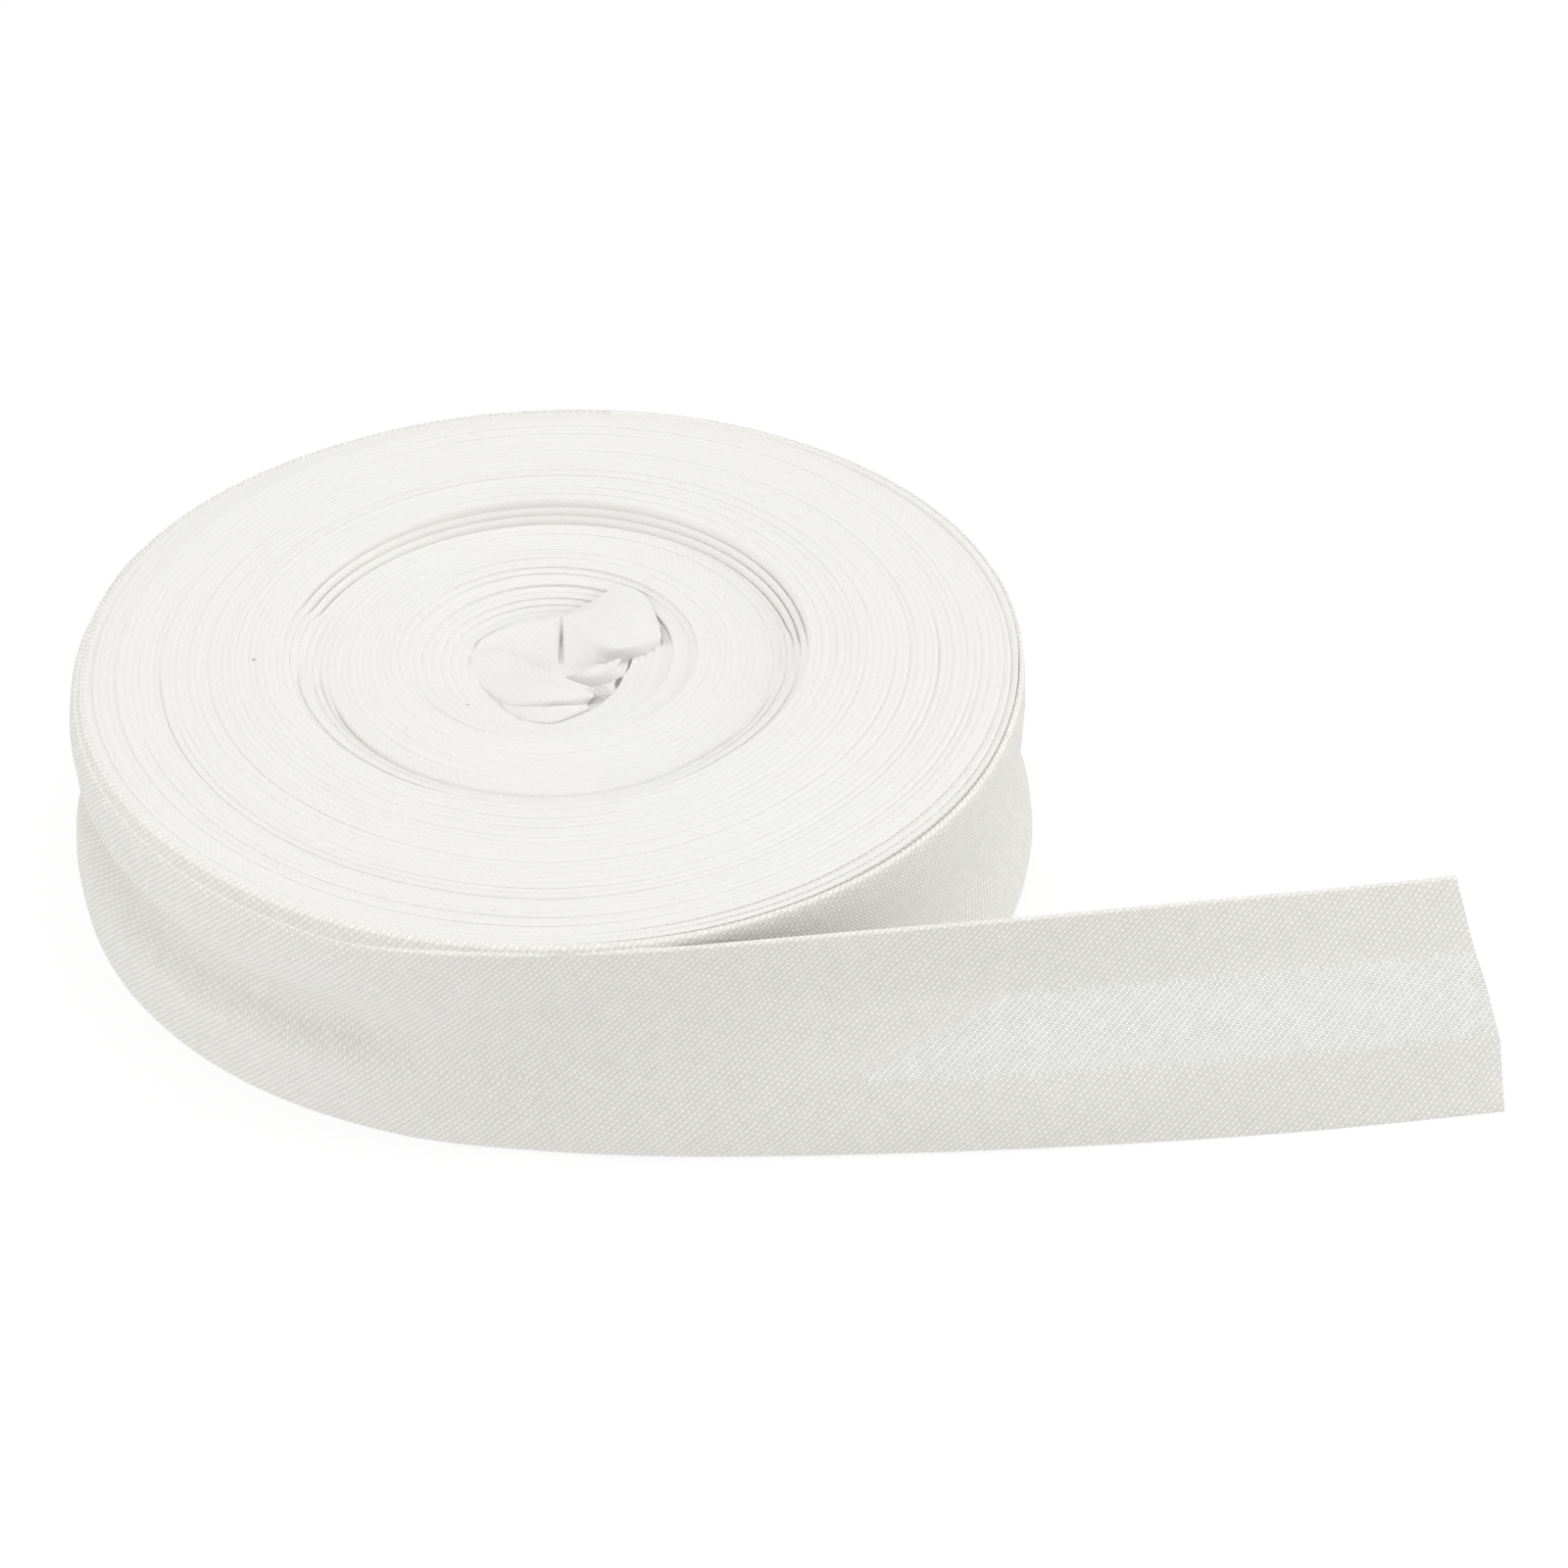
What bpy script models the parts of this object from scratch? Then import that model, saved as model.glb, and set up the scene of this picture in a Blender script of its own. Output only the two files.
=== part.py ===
"""A roll of single-fold bias tape, lying flat, with its outer end run off to the right.

The strip is one piece of white cotton. Both raw edges are folded to the back, so the tape has two
layers along its edges and one along its middle, and the roll has a waist. Three solids are made:
the wound form, the loose outer end and the crumpled inner end. Lengths below are millimetres.
"""

import bpy
import numpy as np

MM = 0.001

# Driving dimensions of the tape
TAPE_WIDTH = 19.4
FLAP_WIDTH = 6.4
LAYER = 1.0
LAYER_GAP = 0.3
CLEARANCE = 0.4

# Driving dimensions of the roll
ROLL_RADIUS = 41.25
TURN_PITCH = 0.6
LEFT_BULGE = 0.6
HOLLOW_RADIUS = 7.6
HOLLOW_CENTRE = (0.3, 2.0)
COLUMNS = 84
END_ANGLE = -95.5
END_FACE_ANGLE = 0.6

# The outer wall from the table up: share of the turn's height, and inset from ROLL_RADIUS
WALL = (
    (0.00, -0.35),
    (0.05, -0.70),
    (0.13, -0.90),
    (0.23, -0.70),
    (0.33, 0.00),
    (0.42, 0.80),
    (0.50, 1.05),
    (0.59, 0.75),
    (0.71, 0.10),
    (0.86, 0.00),
    (0.97, 0.12),
    (1.00, 0.35),
)

# Insets of the gap behind the outermost turn, of the pack's edge and of its shoulder
RIM_WIDTH = 0.75
PACK_EDGE = 0.9
PACK_SHOULDER = 1.3

# How far the gap lies under the rim at least, and how deep the pack's shoulder is rounded
RIM_DROP = 0.1
PACK_ROUND = 0.5

# Around the roll: angle, height of the outermost turn, depth of the gap inside it, height of the pack
RIM = (
    (-95, 18.8, 0.0, 20.2),
    (-60, 19.4, 0.5, 20.3),
    (0, 19.4, 1.2, 19.9),
    (45, 19.3, 1.3, 19.4),
    (90, 19.2, 0.8, 19.3),
    (135, 19.2, 0.9, 19.4),
    (180, 19.0, 0.7, 19.8),
    (225, 18.8, 0.2, 20.1),
    (265, 18.8, 0.0, 20.2),
)

# Rings of the upper face, from outside to inside: radius, height, centre x, centre y
TOP_RINGS = (
    (36.6, 20.2, 0.0, 0.0),
    (33.9, 20.1, 0.0, 0.2),
    (33.2, 19.7, 0.0, 0.2),
    (32.5, 20.1, 0.0, 0.2),
    (27.5, 20.3, -0.3, 0.8),
    (22.0, 20.1, -0.5, 1.2),
    (21.8, 19.8, -0.5, 1.2),
)
DISC_RADIUS_REAR = 21.6
DISC_RADIUS_FRONT = 19.4
DISC_CENTRE = (-0.5, 1.2)
DISC_HEIGHT = 18.4
INNER_RINGS = (
    (13.0, 18.35, -0.5, 3.8),
    (12.4, 17.95, -0.5, 3.8),
    (10.2, 17.5, -0.3, 3.1),
    (9.6, 17.1, -0.2, 2.9),
    (8.2, 17.1, 0.3, 2.0),
)
HOLLOW_EDGE = 0.5

# The loose end's foot on the table: distance run, and heading from +X
HEADING = (
    (0, -8.0),
    (10, -3.5),
    (18, 0.0),
    (32, 2.2),
    (50, 4.3),
    (62, 6.0),
    (72, 8.3),
    (84, 9.2),
)
LOOSE_START = 0.85
LOOSE_LENGTH = 83.6
LOOSE_STATIONS = 27

# How much of the loose end's foot is pressed flat on the table
FOOT_PRESS = 0.25

# Where the wall is drawn in behind the loose end, the pack's edge is measured from this much further out
PACK_OVERHANG = 0.55

# Rows across the folded tape: along each flap, round each fold (degrees) and up the web
FLAP_ROWS = 4
FOLD_TURN = (30.0, 60.0, 90.0, 120.0, 150.0)
WEB_ROWS = 12

# How far the loose end leans back, in degrees: distance run, then at the foot and at the heights below
LEAN_HEIGHTS = (0.0, 4.0, 10.0, 16.0, 19.4)
LEAN_SAMPLES = 201
LEAN_BLEND = 12
LEAN = (
    (0, -12, 22, 0, -8, 2),
    (17, -8, 26, 4, -6, 0),
    (31, 0, 30, 14, 0, 0),
    (43, 0, 30, 24, 8, 6),
    (63, 0, 22, 35, 28, 26),
    (73, 0, 12, 38, 36, 34),
    (84, 0, 6, 38, 38, 36),
)

# The cut across the loose end: height, and how far it stands past the nominal length
CUT = (
    (0, 0.0),
    (6, 0.1),
    (10, -0.6),
    (15, -1.7),
    (20, -2.5),
)
CUT_REACH = 18.0

# The inner end, one row for each fold: foot x, y, z, then head x, y, z, then where the lip at the head ends,
# from the head, and how high it arches on the way
INNER_FOLDS = (
    (-5.2, 4.6, 0.6, -5.2, 5.3, 17.7, -1.4, 1.4, 0.5, 0.3),
    (-2.6, 5.4, 1.0, -2.6, 7.0, 17.9, -0.8, 1.9, 0.5, 0.4),
    (-0.6, 5.8, 1.0, -0.6, 7.9, 18.0, -0.2, 2.0, 0.5, 0.4),
    (0.5, 6.0, 1.0, 0.5, 8.3, 18.0, 0.2, 2.0, 0.5, 0.4),
    (1.5, 5.2, 1.0, 1.5, 7.2, 18.0, 0.7, 3.2, 0.5, 0.5),
    (2.8, 4.2, 1.0, 2.8, 5.4, 18.0, 1.7, 6.6, 0.5, 0.6),
    (4.1, 4.0, 1.0, 4.1, 4.4, 17.9, 3.0, 6.2, 0.6, 0.6),
    (5.6, 4.0, 1.0, 5.6, 4.1, 17.9, 3.4, 3.4, 0.5, 0.5),
    (6.6, 3.3, 1.0, 6.7, 3.5, 17.7, 1.6, 1.0, 0.5, 0.2),
    (6.7, 1.8, 1.0, 6.9, 2.4, 17.4, 0.4, 0.0, 0.8, 0.0),
    (5.6, 0.8, 1.0, 5.9, 2.0, 17.2, 0.0, 0.0, 0.9, 0.0),
    (3.9, 0.6, 1.0, 3.9, 2.1, 16.8, 0.0, -0.2, 0.9, 0.0),
    (1.9, 0.6, 1.0, 1.9, 1.6, 16.0, 0.1, -0.8, 0.5, 0.2),
    (-0.4, 0.9, 1.0, -0.4, 2.2, 16.4, 0.5, -3.2, -0.8, 0.7),
    (-2.4, 1.1, 1.0, -2.4, 3.0, 16.9, 0.3, -5.0, -1.6, 0.9),
    (-4.2, 1.5, 1.0, -4.2, 3.4, 17.0, -0.2, -5.0, -2.0, 0.7),
    (-5.2, 0.7, 1.0, -5.3, 2.2, 16.2, -0.1, -3.0, -1.4, 0.3),
    (-5.1, -0.8, 1.0, -5.1, 0.0, 14.8, 0.1, -1.0, -0.2, 0.0),
    (-3.9, -2.2, 1.0, -3.9, -2.2, 14.2, 0.0, -0.2, 0.4, 0.0),
    (-1.6, -3.3, 1.0, -1.6, -3.4, 14.4, 0.0, 0.0, 0.5, 0.0),
    (1.2, -3.4, 1.0, 1.2, -3.5, 14.6, 0.0, 0.0, 0.5, 0.0),
    (3.8, -2.6, 1.0, 3.8, -2.6, 14.8, 0.0, 0.0, 0.6, 0.0),
    (5.6, -1.2, 1.0, 5.6, -1.0, 15.2, 0.0, 0.0, 0.6, 0.0),
)
INNER_STATIONS = 66
INNER_WALL_ROWS = (0.0, 0.3, 0.6, 0.85)
INNER_LIP_ROWS = (0.12, 0.35, 0.6, 0.82, 1.0)
LIP_ROLL = 1.4

WHITE_COTTON = (0.86, 0.86, 0.84, 1.0)


def clear_scene():
    for thing in list(bpy.data.objects):
        bpy.data.objects.remove(thing, do_unlink=True)


def cotton():
    material = bpy.data.materials.new("white_cotton")
    material.use_nodes = True
    shader = material.node_tree.nodes["Principled BSDF"]
    shader.inputs["Base Color"].default_value = WHITE_COTTON
    shader.inputs["Roughness"].default_value = 0.9
    shader.inputs["Metallic"].default_value = 0.0
    return material


def quads(first, second):
    """Quads between two rows of vertex numbers of equal length."""
    return [(a, b, c, d) for a, b, c, d in zip(first[:-1], first[1:], second[1:], second[:-1])]


def add_object(name, points, faces, material, collection):
    mesh = bpy.data.meshes.new(name)
    mesh.from_pydata((np.asarray(points) * MM).tolist(), [], faces)
    mesh.materials.append(material)
    mesh.shade_smooth()
    mesh.set_sharp_from_angle(angle=np.radians(40))
    thing = bpy.data.objects.new(name, mesh)
    collection.objects.link(thing)
    return thing


def column(table, index):
    return np.array([row[index] for row in table], dtype=float)


def read_off(table, at, index):
    """The value in one column of a table, between its rows by straight lines."""
    return np.interp(at, column(table, 0), column(table, index))


def smooth_through(rows, count):
    """Catmull-Rom curve through rows of numbers, read at count even steps of its own length."""
    rows = np.asarray(rows, dtype=float)
    padded = np.vstack([2 * rows[0] - rows[1], rows, 2 * rows[-1] - rows[-2]])
    fine = np.linspace(0, len(rows) - 1, 40 * len(rows))
    part = np.minimum(fine.astype(int), len(rows) - 2)
    t = (fine - part)[:, None]
    before, start, end, after = (padded[part + shift] for shift in range(4))
    curve = 0.5 * (
        2 * start
        + (end - before) * t
        + (2 * before - 5 * start + 4 * end - after) * t**2
        + (3 * start - before - 3 * end + after) * t**3
    )
    steps = np.linalg.norm(np.diff(curve[:, 3:6], axis=0), axis=1)
    run = np.concatenate([[0], np.cumsum(steps)])
    even = np.linspace(0, run[-1], count)
    return np.stack([np.interp(even, run, curve[:, k]) for k in range(curve.shape[1])], axis=1)


def grid_faces(stations, rows):
    """Faces of an open sheet, one row of points for each station."""
    number = np.arange(stations * rows).reshape(stations, rows)
    faces = []
    for i in range(stations - 1):
        faces += quads(number[i + 1], number[i])
    return [tuple(int(k) for k in face) for face in faces]


def sheet_faces(stations, rows):
    """Faces of a thick sheet whose front points come first and back points second, row by row."""
    front = np.arange(stations * rows).reshape(stations, rows)
    back = front + stations * rows
    faces = []
    for i in range(stations - 1):
        faces += quads(front[i + 1], front[i])
        faces += quads(back[i], back[i + 1])
    faces += quads(front[0], back[0])
    faces += quads(back[-1], front[-1])
    faces += quads(back[:, 0], front[:, 0])
    faces += quads(front[:, -1], back[:, -1])
    return [tuple(int(k) for k in face) for face in faces]


def folded_section(lean):
    """Half-layer lines of the folded tape, seen along it: back offset and height of both its faces.

    The middle line runs from the lower flap's raw edge down its back, round the fold at the foot,
    up the web, round the fold at the head and down to the upper flap's raw edge. The web leans by
    the angles given, which are joined into a smooth curve and added up from the foot.
    """
    fold = (LAYER + LAYER_GAP) / 2
    turn = np.radians(FOLD_TURN)
    flap = np.linspace(FLAP_WIDTH, fold, FLAP_ROWS)
    web = np.linspace(fold, TAPE_WIDTH - fold, WEB_ROWS)
    flap_one, web_one = np.ones(FLAP_ROWS), np.ones(WEB_ROWS)
    along = np.concatenate([flap, fold - fold * np.sin(turn), web, TAPE_WIDTH - fold + fold * np.sin(turn),
                            TAPE_WIDTH - flap[::-1]])
    depth = fold * np.concatenate([2 * flap_one, 1 + np.cos(turn), 0 * web_one, 1 - np.cos(turn), 2 * flap_one])
    normal_v = np.concatenate([0 * flap_one, -np.sin(turn), 0 * web_one, np.sin(turn), 0 * flap_one])
    normal_d = np.concatenate([flap_one, np.cos(turn), -web_one, -np.cos(turn), flap_one])
    fine = np.linspace(0, TAPE_WIDTH, LEAN_SAMPLES)
    angle = np.radians(np.interp(fine, LEAN_HEIGHTS, lean))
    window = 2 * LEAN_BLEND + 1
    angle = np.convolve(np.pad(angle, LEAN_BLEND, mode="edge"), np.ones(window) / window, mode="valid")
    step = fine[1] - fine[0]
    back = np.concatenate([[0], np.cumsum((np.sin(angle[1:]) + np.sin(angle[:-1])) / 2)]) * step
    high = np.concatenate([[0], np.cumsum((np.cos(angle[1:]) + np.cos(angle[:-1])) / 2)]) * step
    both = []
    for side in (1, -1):
        v = along + side * normal_v * LAYER / 2
        d = depth + side * normal_d * LAYER / 2 + LAYER / 2
        at = np.clip(v, 0, TAPE_WIDTH)
        here = np.interp(at, fine, angle)
        past = v - at
        offset = np.interp(at, fine, back) + d * np.cos(here) + past * np.sin(here)
        height = np.interp(at, fine, high) - d * np.sin(here) + past * np.cos(here)
        both.append((offset, height, np.clip(v, 0, TAPE_WIDTH)))
    return both


def loose_end_points():
    """Front and back points of the loose end, as two arrays of stations by rows by xyz."""
    fine = np.linspace(0, LOOSE_LENGTH, 400)
    heading = np.radians(read_off(HEADING, fine, 1))
    step = fine[1] - fine[0]
    start = np.radians(END_ANGLE)
    foot_radius = ROLL_RADIUS - WALL[1][1]
    foot_x = foot_radius * np.cos(start) + np.concatenate([[0], np.cumsum(np.cos(heading[:-1]))]) * step
    foot_y = foot_radius * np.sin(start) + np.concatenate([[0], np.cumsum(np.sin(heading[:-1]))]) * step
    sides = ([], [])
    for s in np.linspace(LOOSE_START, LOOSE_LENGTH, LOOSE_STATIONS):
        lean = [read_off(LEAN, s, k + 1) for k in range(len(LEAN_HEIGHTS))]
        near_end = np.clip((s - LOOSE_LENGTH + CUT_REACH) / CUT_REACH, 0, 1)
        for side, (offset, height, v) in zip(sides, folded_section(lean)):
            at = s + near_end * read_off(CUT, v, 1)
            turn = np.interp(at, fine, heading)
            x = np.interp(at, fine, foot_x) + (at - np.clip(at, 0, LOOSE_LENGTH)) * np.cos(turn)
            y = np.interp(at, fine, foot_y) + (at - np.clip(at, 0, LOOSE_LENGTH)) * np.sin(turn)
            side.append(np.stack([x - offset * np.sin(turn), y + offset * np.cos(turn), height], axis=1))
    front, back = (np.array(side) for side in sides)
    lowest = min(front[..., 2].min(), back[..., 2].min())
    for side in (front, back):
        side[..., 2] = np.maximum(side[..., 2] - lowest - FOOT_PRESS, 0)
    return front, back


def free_radius(angles, front, back):
    """How far the wound wall may reach at each angle before it would meet the loose end."""
    plan = np.concatenate([front, back], axis=1)
    reach = np.hypot(plan[..., 0], plan[..., 1])
    nearest = reach.argmin(axis=1)
    rows = np.arange(len(nearest))
    bearing = np.degrees(np.arctan2(plan[rows, nearest, 1], plan[rows, nearest, 0]))
    return np.interp(angles, bearing, reach.min(axis=1) - CLEARANCE, left=reach.min() - CLEARANCE)


def roll_points(front, back):
    """The wound form as columns around the axis, each a closed profile from the foot up and round."""
    angles = np.linspace(END_ANGLE + END_FACE_ANGLE, END_ANGLE + 360, COLUMNS)
    share = np.linspace(0, 1, COLUMNS)
    theta = np.radians(angles)
    radius = ROLL_RADIUS - TURN_PITCH * (1 - share) + LEFT_BULGE * np.clip(-np.cos(theta), 0, 1) ** 2
    rim, gap, pack = (np.interp(angles, column(RIM, 0), column(RIM, k)) for k in (1, 2, 3))
    limit = np.where(angles < 0, free_radius(angles, front, back), np.inf)
    zero = np.zeros(COLUMNS)
    rows = []
    for height, inset in WALL:
        rows.append((np.minimum(radius - inset, limit), height * rim, 0.0, 0.0))
    outer = np.minimum(radius, limit + PACK_OVERHANG)
    for inset, height in ((RIM_WIDTH, rim - gap - RIM_DROP), (PACK_EDGE, pack - PACK_ROUND), (PACK_SHOULDER, pack)):
        rows.append((outer - inset, height, 0.0, 0.0))
    for ring, height, centre_x, centre_y in TOP_RINGS:
        rows.append((zero + ring, zero + height, centre_x, centre_y))
    frontness = np.clip(-np.sin(theta), 0, 1) ** 2
    disc = DISC_RADIUS_REAR + (DISC_RADIUS_FRONT - DISC_RADIUS_REAR) * frontness
    rows.append((disc, zero + DISC_HEIGHT, *DISC_CENTRE))
    for ring, height, centre_x, centre_y in INNER_RINGS:
        rows.append((zero + ring, zero + height, centre_x, centre_y))
    mouth = INNER_RINGS[-1][1] - HOLLOW_EDGE
    for ring, height in ((HOLLOW_RADIUS, mouth), (HOLLOW_RADIUS, HOLLOW_EDGE), (HOLLOW_RADIUS + HOLLOW_EDGE, 0)):
        rows.append((zero + ring, zero + height, *HOLLOW_CENTRE))
    ring, height, centre_x, centre_y = (np.array([np.broadcast_to(row[k], (COLUMNS,)) for row in rows])
                                        for k in range(4))
    points = np.stack([centre_x + ring * np.cos(theta), centre_y + ring * np.sin(theta), height], axis=-1)
    return points.transpose(1, 0, 2)


def ring_faces(columns, rows):
    """Faces of a grid that closes on itself both ways."""
    number = np.arange(columns * rows).reshape(columns, rows)
    faces = []
    for i in range(columns):
        here = np.append(number[i], number[i, 0])
        after = np.append(number[(i + 1) % columns], number[(i + 1) % columns, 0])
        faces += quads(after, here)
    return [tuple(int(k) for k in face) for face in faces]


def inner_end_points():
    """Middle surface of the crumpled inner end: foot, wall and turned-out lip at each station."""
    rows = smooth_through(INNER_FOLDS, INNER_STATIONS)
    foot, head, lip, arch = rows[:, 0:3], rows[:, 3:6], rows[:, 6:9], rows[:, 9:10]
    lines = [foot + share * (head - foot) for share in INNER_WALL_ROWS]
    for share in INNER_LIP_ROWS:
        outward = share**LIP_ROLL
        lines.append(head + lip * (outward, outward, share) + arch * (0, 0, np.sin(share * np.pi)))
    return np.stack(lines, axis=1)


def build():
    clear_scene()
    collection = bpy.data.collections.new("bias_tape_roll")
    bpy.context.scene.collection.children.link(collection)
    material = cotton()
    front, back = loose_end_points()
    roll = roll_points(front, back)
    crumple = inner_end_points()
    everything = np.concatenate([part.reshape(-1, 3) for part in (front, back, roll)])
    middle = (everything.min(axis=0) + everything.max(axis=0)) / 2
    shift = np.array([-middle[0], -middle[1], 0.0])
    thick = np.concatenate([front.reshape(-1, 3), back.reshape(-1, 3)]) + shift
    add_object("loose_end", thick, sheet_faces(*front.shape[:2]), material, collection)
    add_object("wound_roll", roll.reshape(-1, 3) + shift, ring_faces(*roll.shape[:2]), material, collection)
    points = crumple.reshape(-1, 3) + shift
    inner = add_object("inner_end", points, grid_faces(*crumple.shape[:2]), material, collection)
    thicken = inner.modifiers.new("one layer", "SOLIDIFY")
    thicken.thickness = LAYER * MM
    thicken.offset = 0
    print("roll axis at", shift[:2].round(3), "mm from the origin")


build()
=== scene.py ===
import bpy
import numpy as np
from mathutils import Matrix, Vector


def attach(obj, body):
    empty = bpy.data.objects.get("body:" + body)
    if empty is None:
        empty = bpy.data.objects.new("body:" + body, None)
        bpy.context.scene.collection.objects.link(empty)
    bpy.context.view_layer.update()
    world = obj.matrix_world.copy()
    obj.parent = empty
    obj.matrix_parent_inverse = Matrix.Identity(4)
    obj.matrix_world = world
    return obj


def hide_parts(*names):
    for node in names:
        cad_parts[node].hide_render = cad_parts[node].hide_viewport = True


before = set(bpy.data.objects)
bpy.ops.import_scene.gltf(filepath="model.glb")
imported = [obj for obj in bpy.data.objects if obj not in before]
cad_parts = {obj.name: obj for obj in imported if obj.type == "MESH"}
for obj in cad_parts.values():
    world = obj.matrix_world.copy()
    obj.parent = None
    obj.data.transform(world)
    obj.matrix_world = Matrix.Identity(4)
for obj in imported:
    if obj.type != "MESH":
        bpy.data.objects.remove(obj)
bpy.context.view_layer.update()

# %% [markdown]
# # A roll of bias tape
#
# Bias tape is a strip of plain-woven cotton cut across the grain. Both raw edges are folded to the back and
# pressed, so the tape has two layers along its edges and one along its middle. The roll has no core: the
# tape is wound on itself and lies flat. This lesson works all its surfaces out with numpy: the wound turns,
# the outermost turn that runs off as the loose end, the crumpled inner end and a few frayed threads.
#
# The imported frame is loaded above. It holds plain solids of the same size, which the pieces here replace.

# %% [markdown]
# ## Working in millimetres around the roll's axis
#
# Every shape below is worked out in millimetres with the roll's axis at zero, because a wound thing is
# simplest to write down from its middle. One helper turns a grid of points into a mesh and moves it to where
# the axis stands in the frame. It also writes a map called cloth, with every corner's millimetres along and
# across the strip. The weave is drawn on that map, so it follows every turn and fold as real threads do.

# %% Units and small helpers
MM = 0.001
ROLL_AXIS = np.array([-18.338, 0.602, 0.0])


def column(table, index):
    """One column of a table as an array."""
    return np.array([row[index] for row in table], dtype=float)


def read_off(table, at, index=1):
    """The value in one column of a table at the places given: straight lines between its rows."""
    return np.interp(at, column(table, 0), column(table, index))


def ease(x):
    """0 below 0, 1 above 1, and a smooth S between: three x squared less two x cubed."""
    x = np.clip(x, 0, 1)
    return x * x * (3 - 2 * x)


def ramp(x, start, over):
    """0 up to the start and 1 once x is this much past it, with a smooth S between."""
    return ease((x - start) / over)


def gentle_noise(x, seed):
    """Smooth random values from -1 to 1: a random number at every whole x, joined by S-shaped steps."""
    x = np.asarray(x, dtype=float)
    low = int(np.floor(x.min())) - 1
    knots = np.random.default_rng(seed).uniform(-1, 1, int(np.ceil(x.max())) - low + 3)
    cell = np.floor(x).astype(int)
    part = ease(x - cell)
    return knots[cell - low] * (1 - part) + knots[cell - low + 1] * part


def unit(ways):
    """The same directions, each at length one."""
    return ways / np.linalg.norm(ways, axis=-1, keepdims=True)


def along_length(points):
    """Running length of lines of points: the distances between neighbours on the first axis, added up."""
    steps = np.linalg.norm(np.diff(points, axis=0), axis=-1)
    return np.concatenate([np.zeros_like(steps[:1]), np.cumsum(steps, axis=0)])


print("the roll's axis stands at, mm:", ROLL_AXIS[:2])


# %% A grid of points becomes a mesh
def new_object(name, data):
    """An object for this mesh, lamp or camera, linked to the scene."""
    thing = bpy.data.objects.new(name, data)
    bpy.context.scene.collection.objects.link(thing)
    return thing


def cell_corners(grid):
    """The four corners of every cell of a grid, in order round the cell."""
    return np.stack([grid[:-1, :-1], grid[:-1, 1:], grid[1:, 1:], grid[1:, :-1]], axis=2)


def cloth_mesh(name, points, cloth, material, loop=False, caps=False, crease=50):
    """Object from a grid of points, one row for each station along the strip.

    Corner (i, j) takes point (i, j) and map value cloth (i, j). With loop, each row closes on itself
    and cloth has one more column than points. With caps, the first and the last row are filled. Edges
    bent more than the crease's degrees stay sharp.
    """
    rows, across = points.shape[:2]
    number = np.arange(rows * across).reshape(rows, across)
    if loop:
        number = np.concatenate([number, number[:, :1]], axis=1)
    loops, uv = cell_corners(number).ravel(), cell_corners(cloth).reshape(-1, 2)
    sizes = np.full(len(loops) // 4, 4)
    if caps:
        first, last = number[0, :across][::-1], number[-1, :across]
        loops = np.concatenate([loops, first, last])
        uv = np.concatenate([uv, cloth[0, :across][::-1], cloth[-1, :across]])
        sizes = np.concatenate([sizes, [across, across]])
    mesh = bpy.data.meshes.new(name)
    placed = (points.reshape(-1, 3) + ROLL_AXIS) * MM
    mesh.vertices.add(len(placed))
    mesh.vertices.foreach_set("co", placed.ravel())
    mesh.loops.add(len(loops))
    mesh.loops.foreach_set("vertex_index", loops)
    mesh.polygons.add(len(sizes))
    mesh.polygons.foreach_set("loop_start", np.concatenate([[0], np.cumsum(sizes)[:-1]]))
    mesh.update(calc_edges=True)
    layer = mesh.uv_layers.new(name="cloth")
    layer.uv.foreach_set("vector", uv.ravel())
    mesh.validate()
    mesh.shade_smooth()
    mesh.set_sharp_from_angle(angle=np.radians(crease))
    mesh.materials.append(material)
    print(name, "has", len(placed), "points and", sum(sizes - 2), "triangles")
    return new_object(name, mesh)


# %% [markdown]
# ## The cotton: a plain weave laid on the bias
#
# The cloth is a light plain weave: each thread goes over one and under the next. Cut on the bias, both sets
# of threads run at 45 degrees to the strip's edge, and one set is finer. A photograph could be wrapped on,
# but threads written as sine waves stay sharp at any distance and follow the strip. A thread's height is the
# rounded top of a sine across it, raised where it passes over and lowered where it passes under.

# %% Node helpers
def wire(tree, value, socket):
    """Links a socket to another, or writes a plain number or colour into it."""
    if isinstance(value, bpy.types.NodeSocket):
        tree.links.new(value, socket)
    else:
        socket.default_value = value


def calc(tree, operation, first, second=0.0, third=0.0):
    """A Math node with these inputs; gives its output socket."""
    node = tree.nodes.new("ShaderNodeMath")
    node.operation = operation
    for value, socket in zip((first, second, third), node.inputs):
        wire(tree, value, socket)
    return node.outputs[0]


def times(tree, first, second):
    """The product of two values."""
    return calc(tree, "MULTIPLY", first, second)


def times_plus(tree, value, factor, offset):
    """A value times a factor, plus an offset."""
    return calc(tree, "MULTIPLY_ADD", value, factor, offset)


def around_one(tree, value, swing):
    """A value from 0 to 1 as a factor from half the swing below one to half above it."""
    return times_plus(tree, value, swing, 1 - swing / 2)


def clamped(tree, value):
    """A value kept from 0 to 1."""
    return calc(tree, "MINIMUM", calc(tree, "MAXIMUM", value, 0.0), 1.0)


def within(tree, value, middle, reach):
    """1 where a value is nearer to the middle than the reach, and 0 elsewhere."""
    apart = calc(tree, "ABSOLUTE", calc(tree, "SUBTRACT", value, middle))
    return calc(tree, "LESS_THAN", apart, reach)


def noise(tree, place, scale, detail=2.0):
    """A Noise Texture read at a place, from 0 to 1 around a half."""
    node = tree.nodes.new("ShaderNodeTexNoise")
    wire(tree, place, node.inputs["Vector"])
    node.inputs["Scale"].default_value = scale
    node.inputs["Detail"].default_value = detail
    return node.outputs[0]


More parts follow.
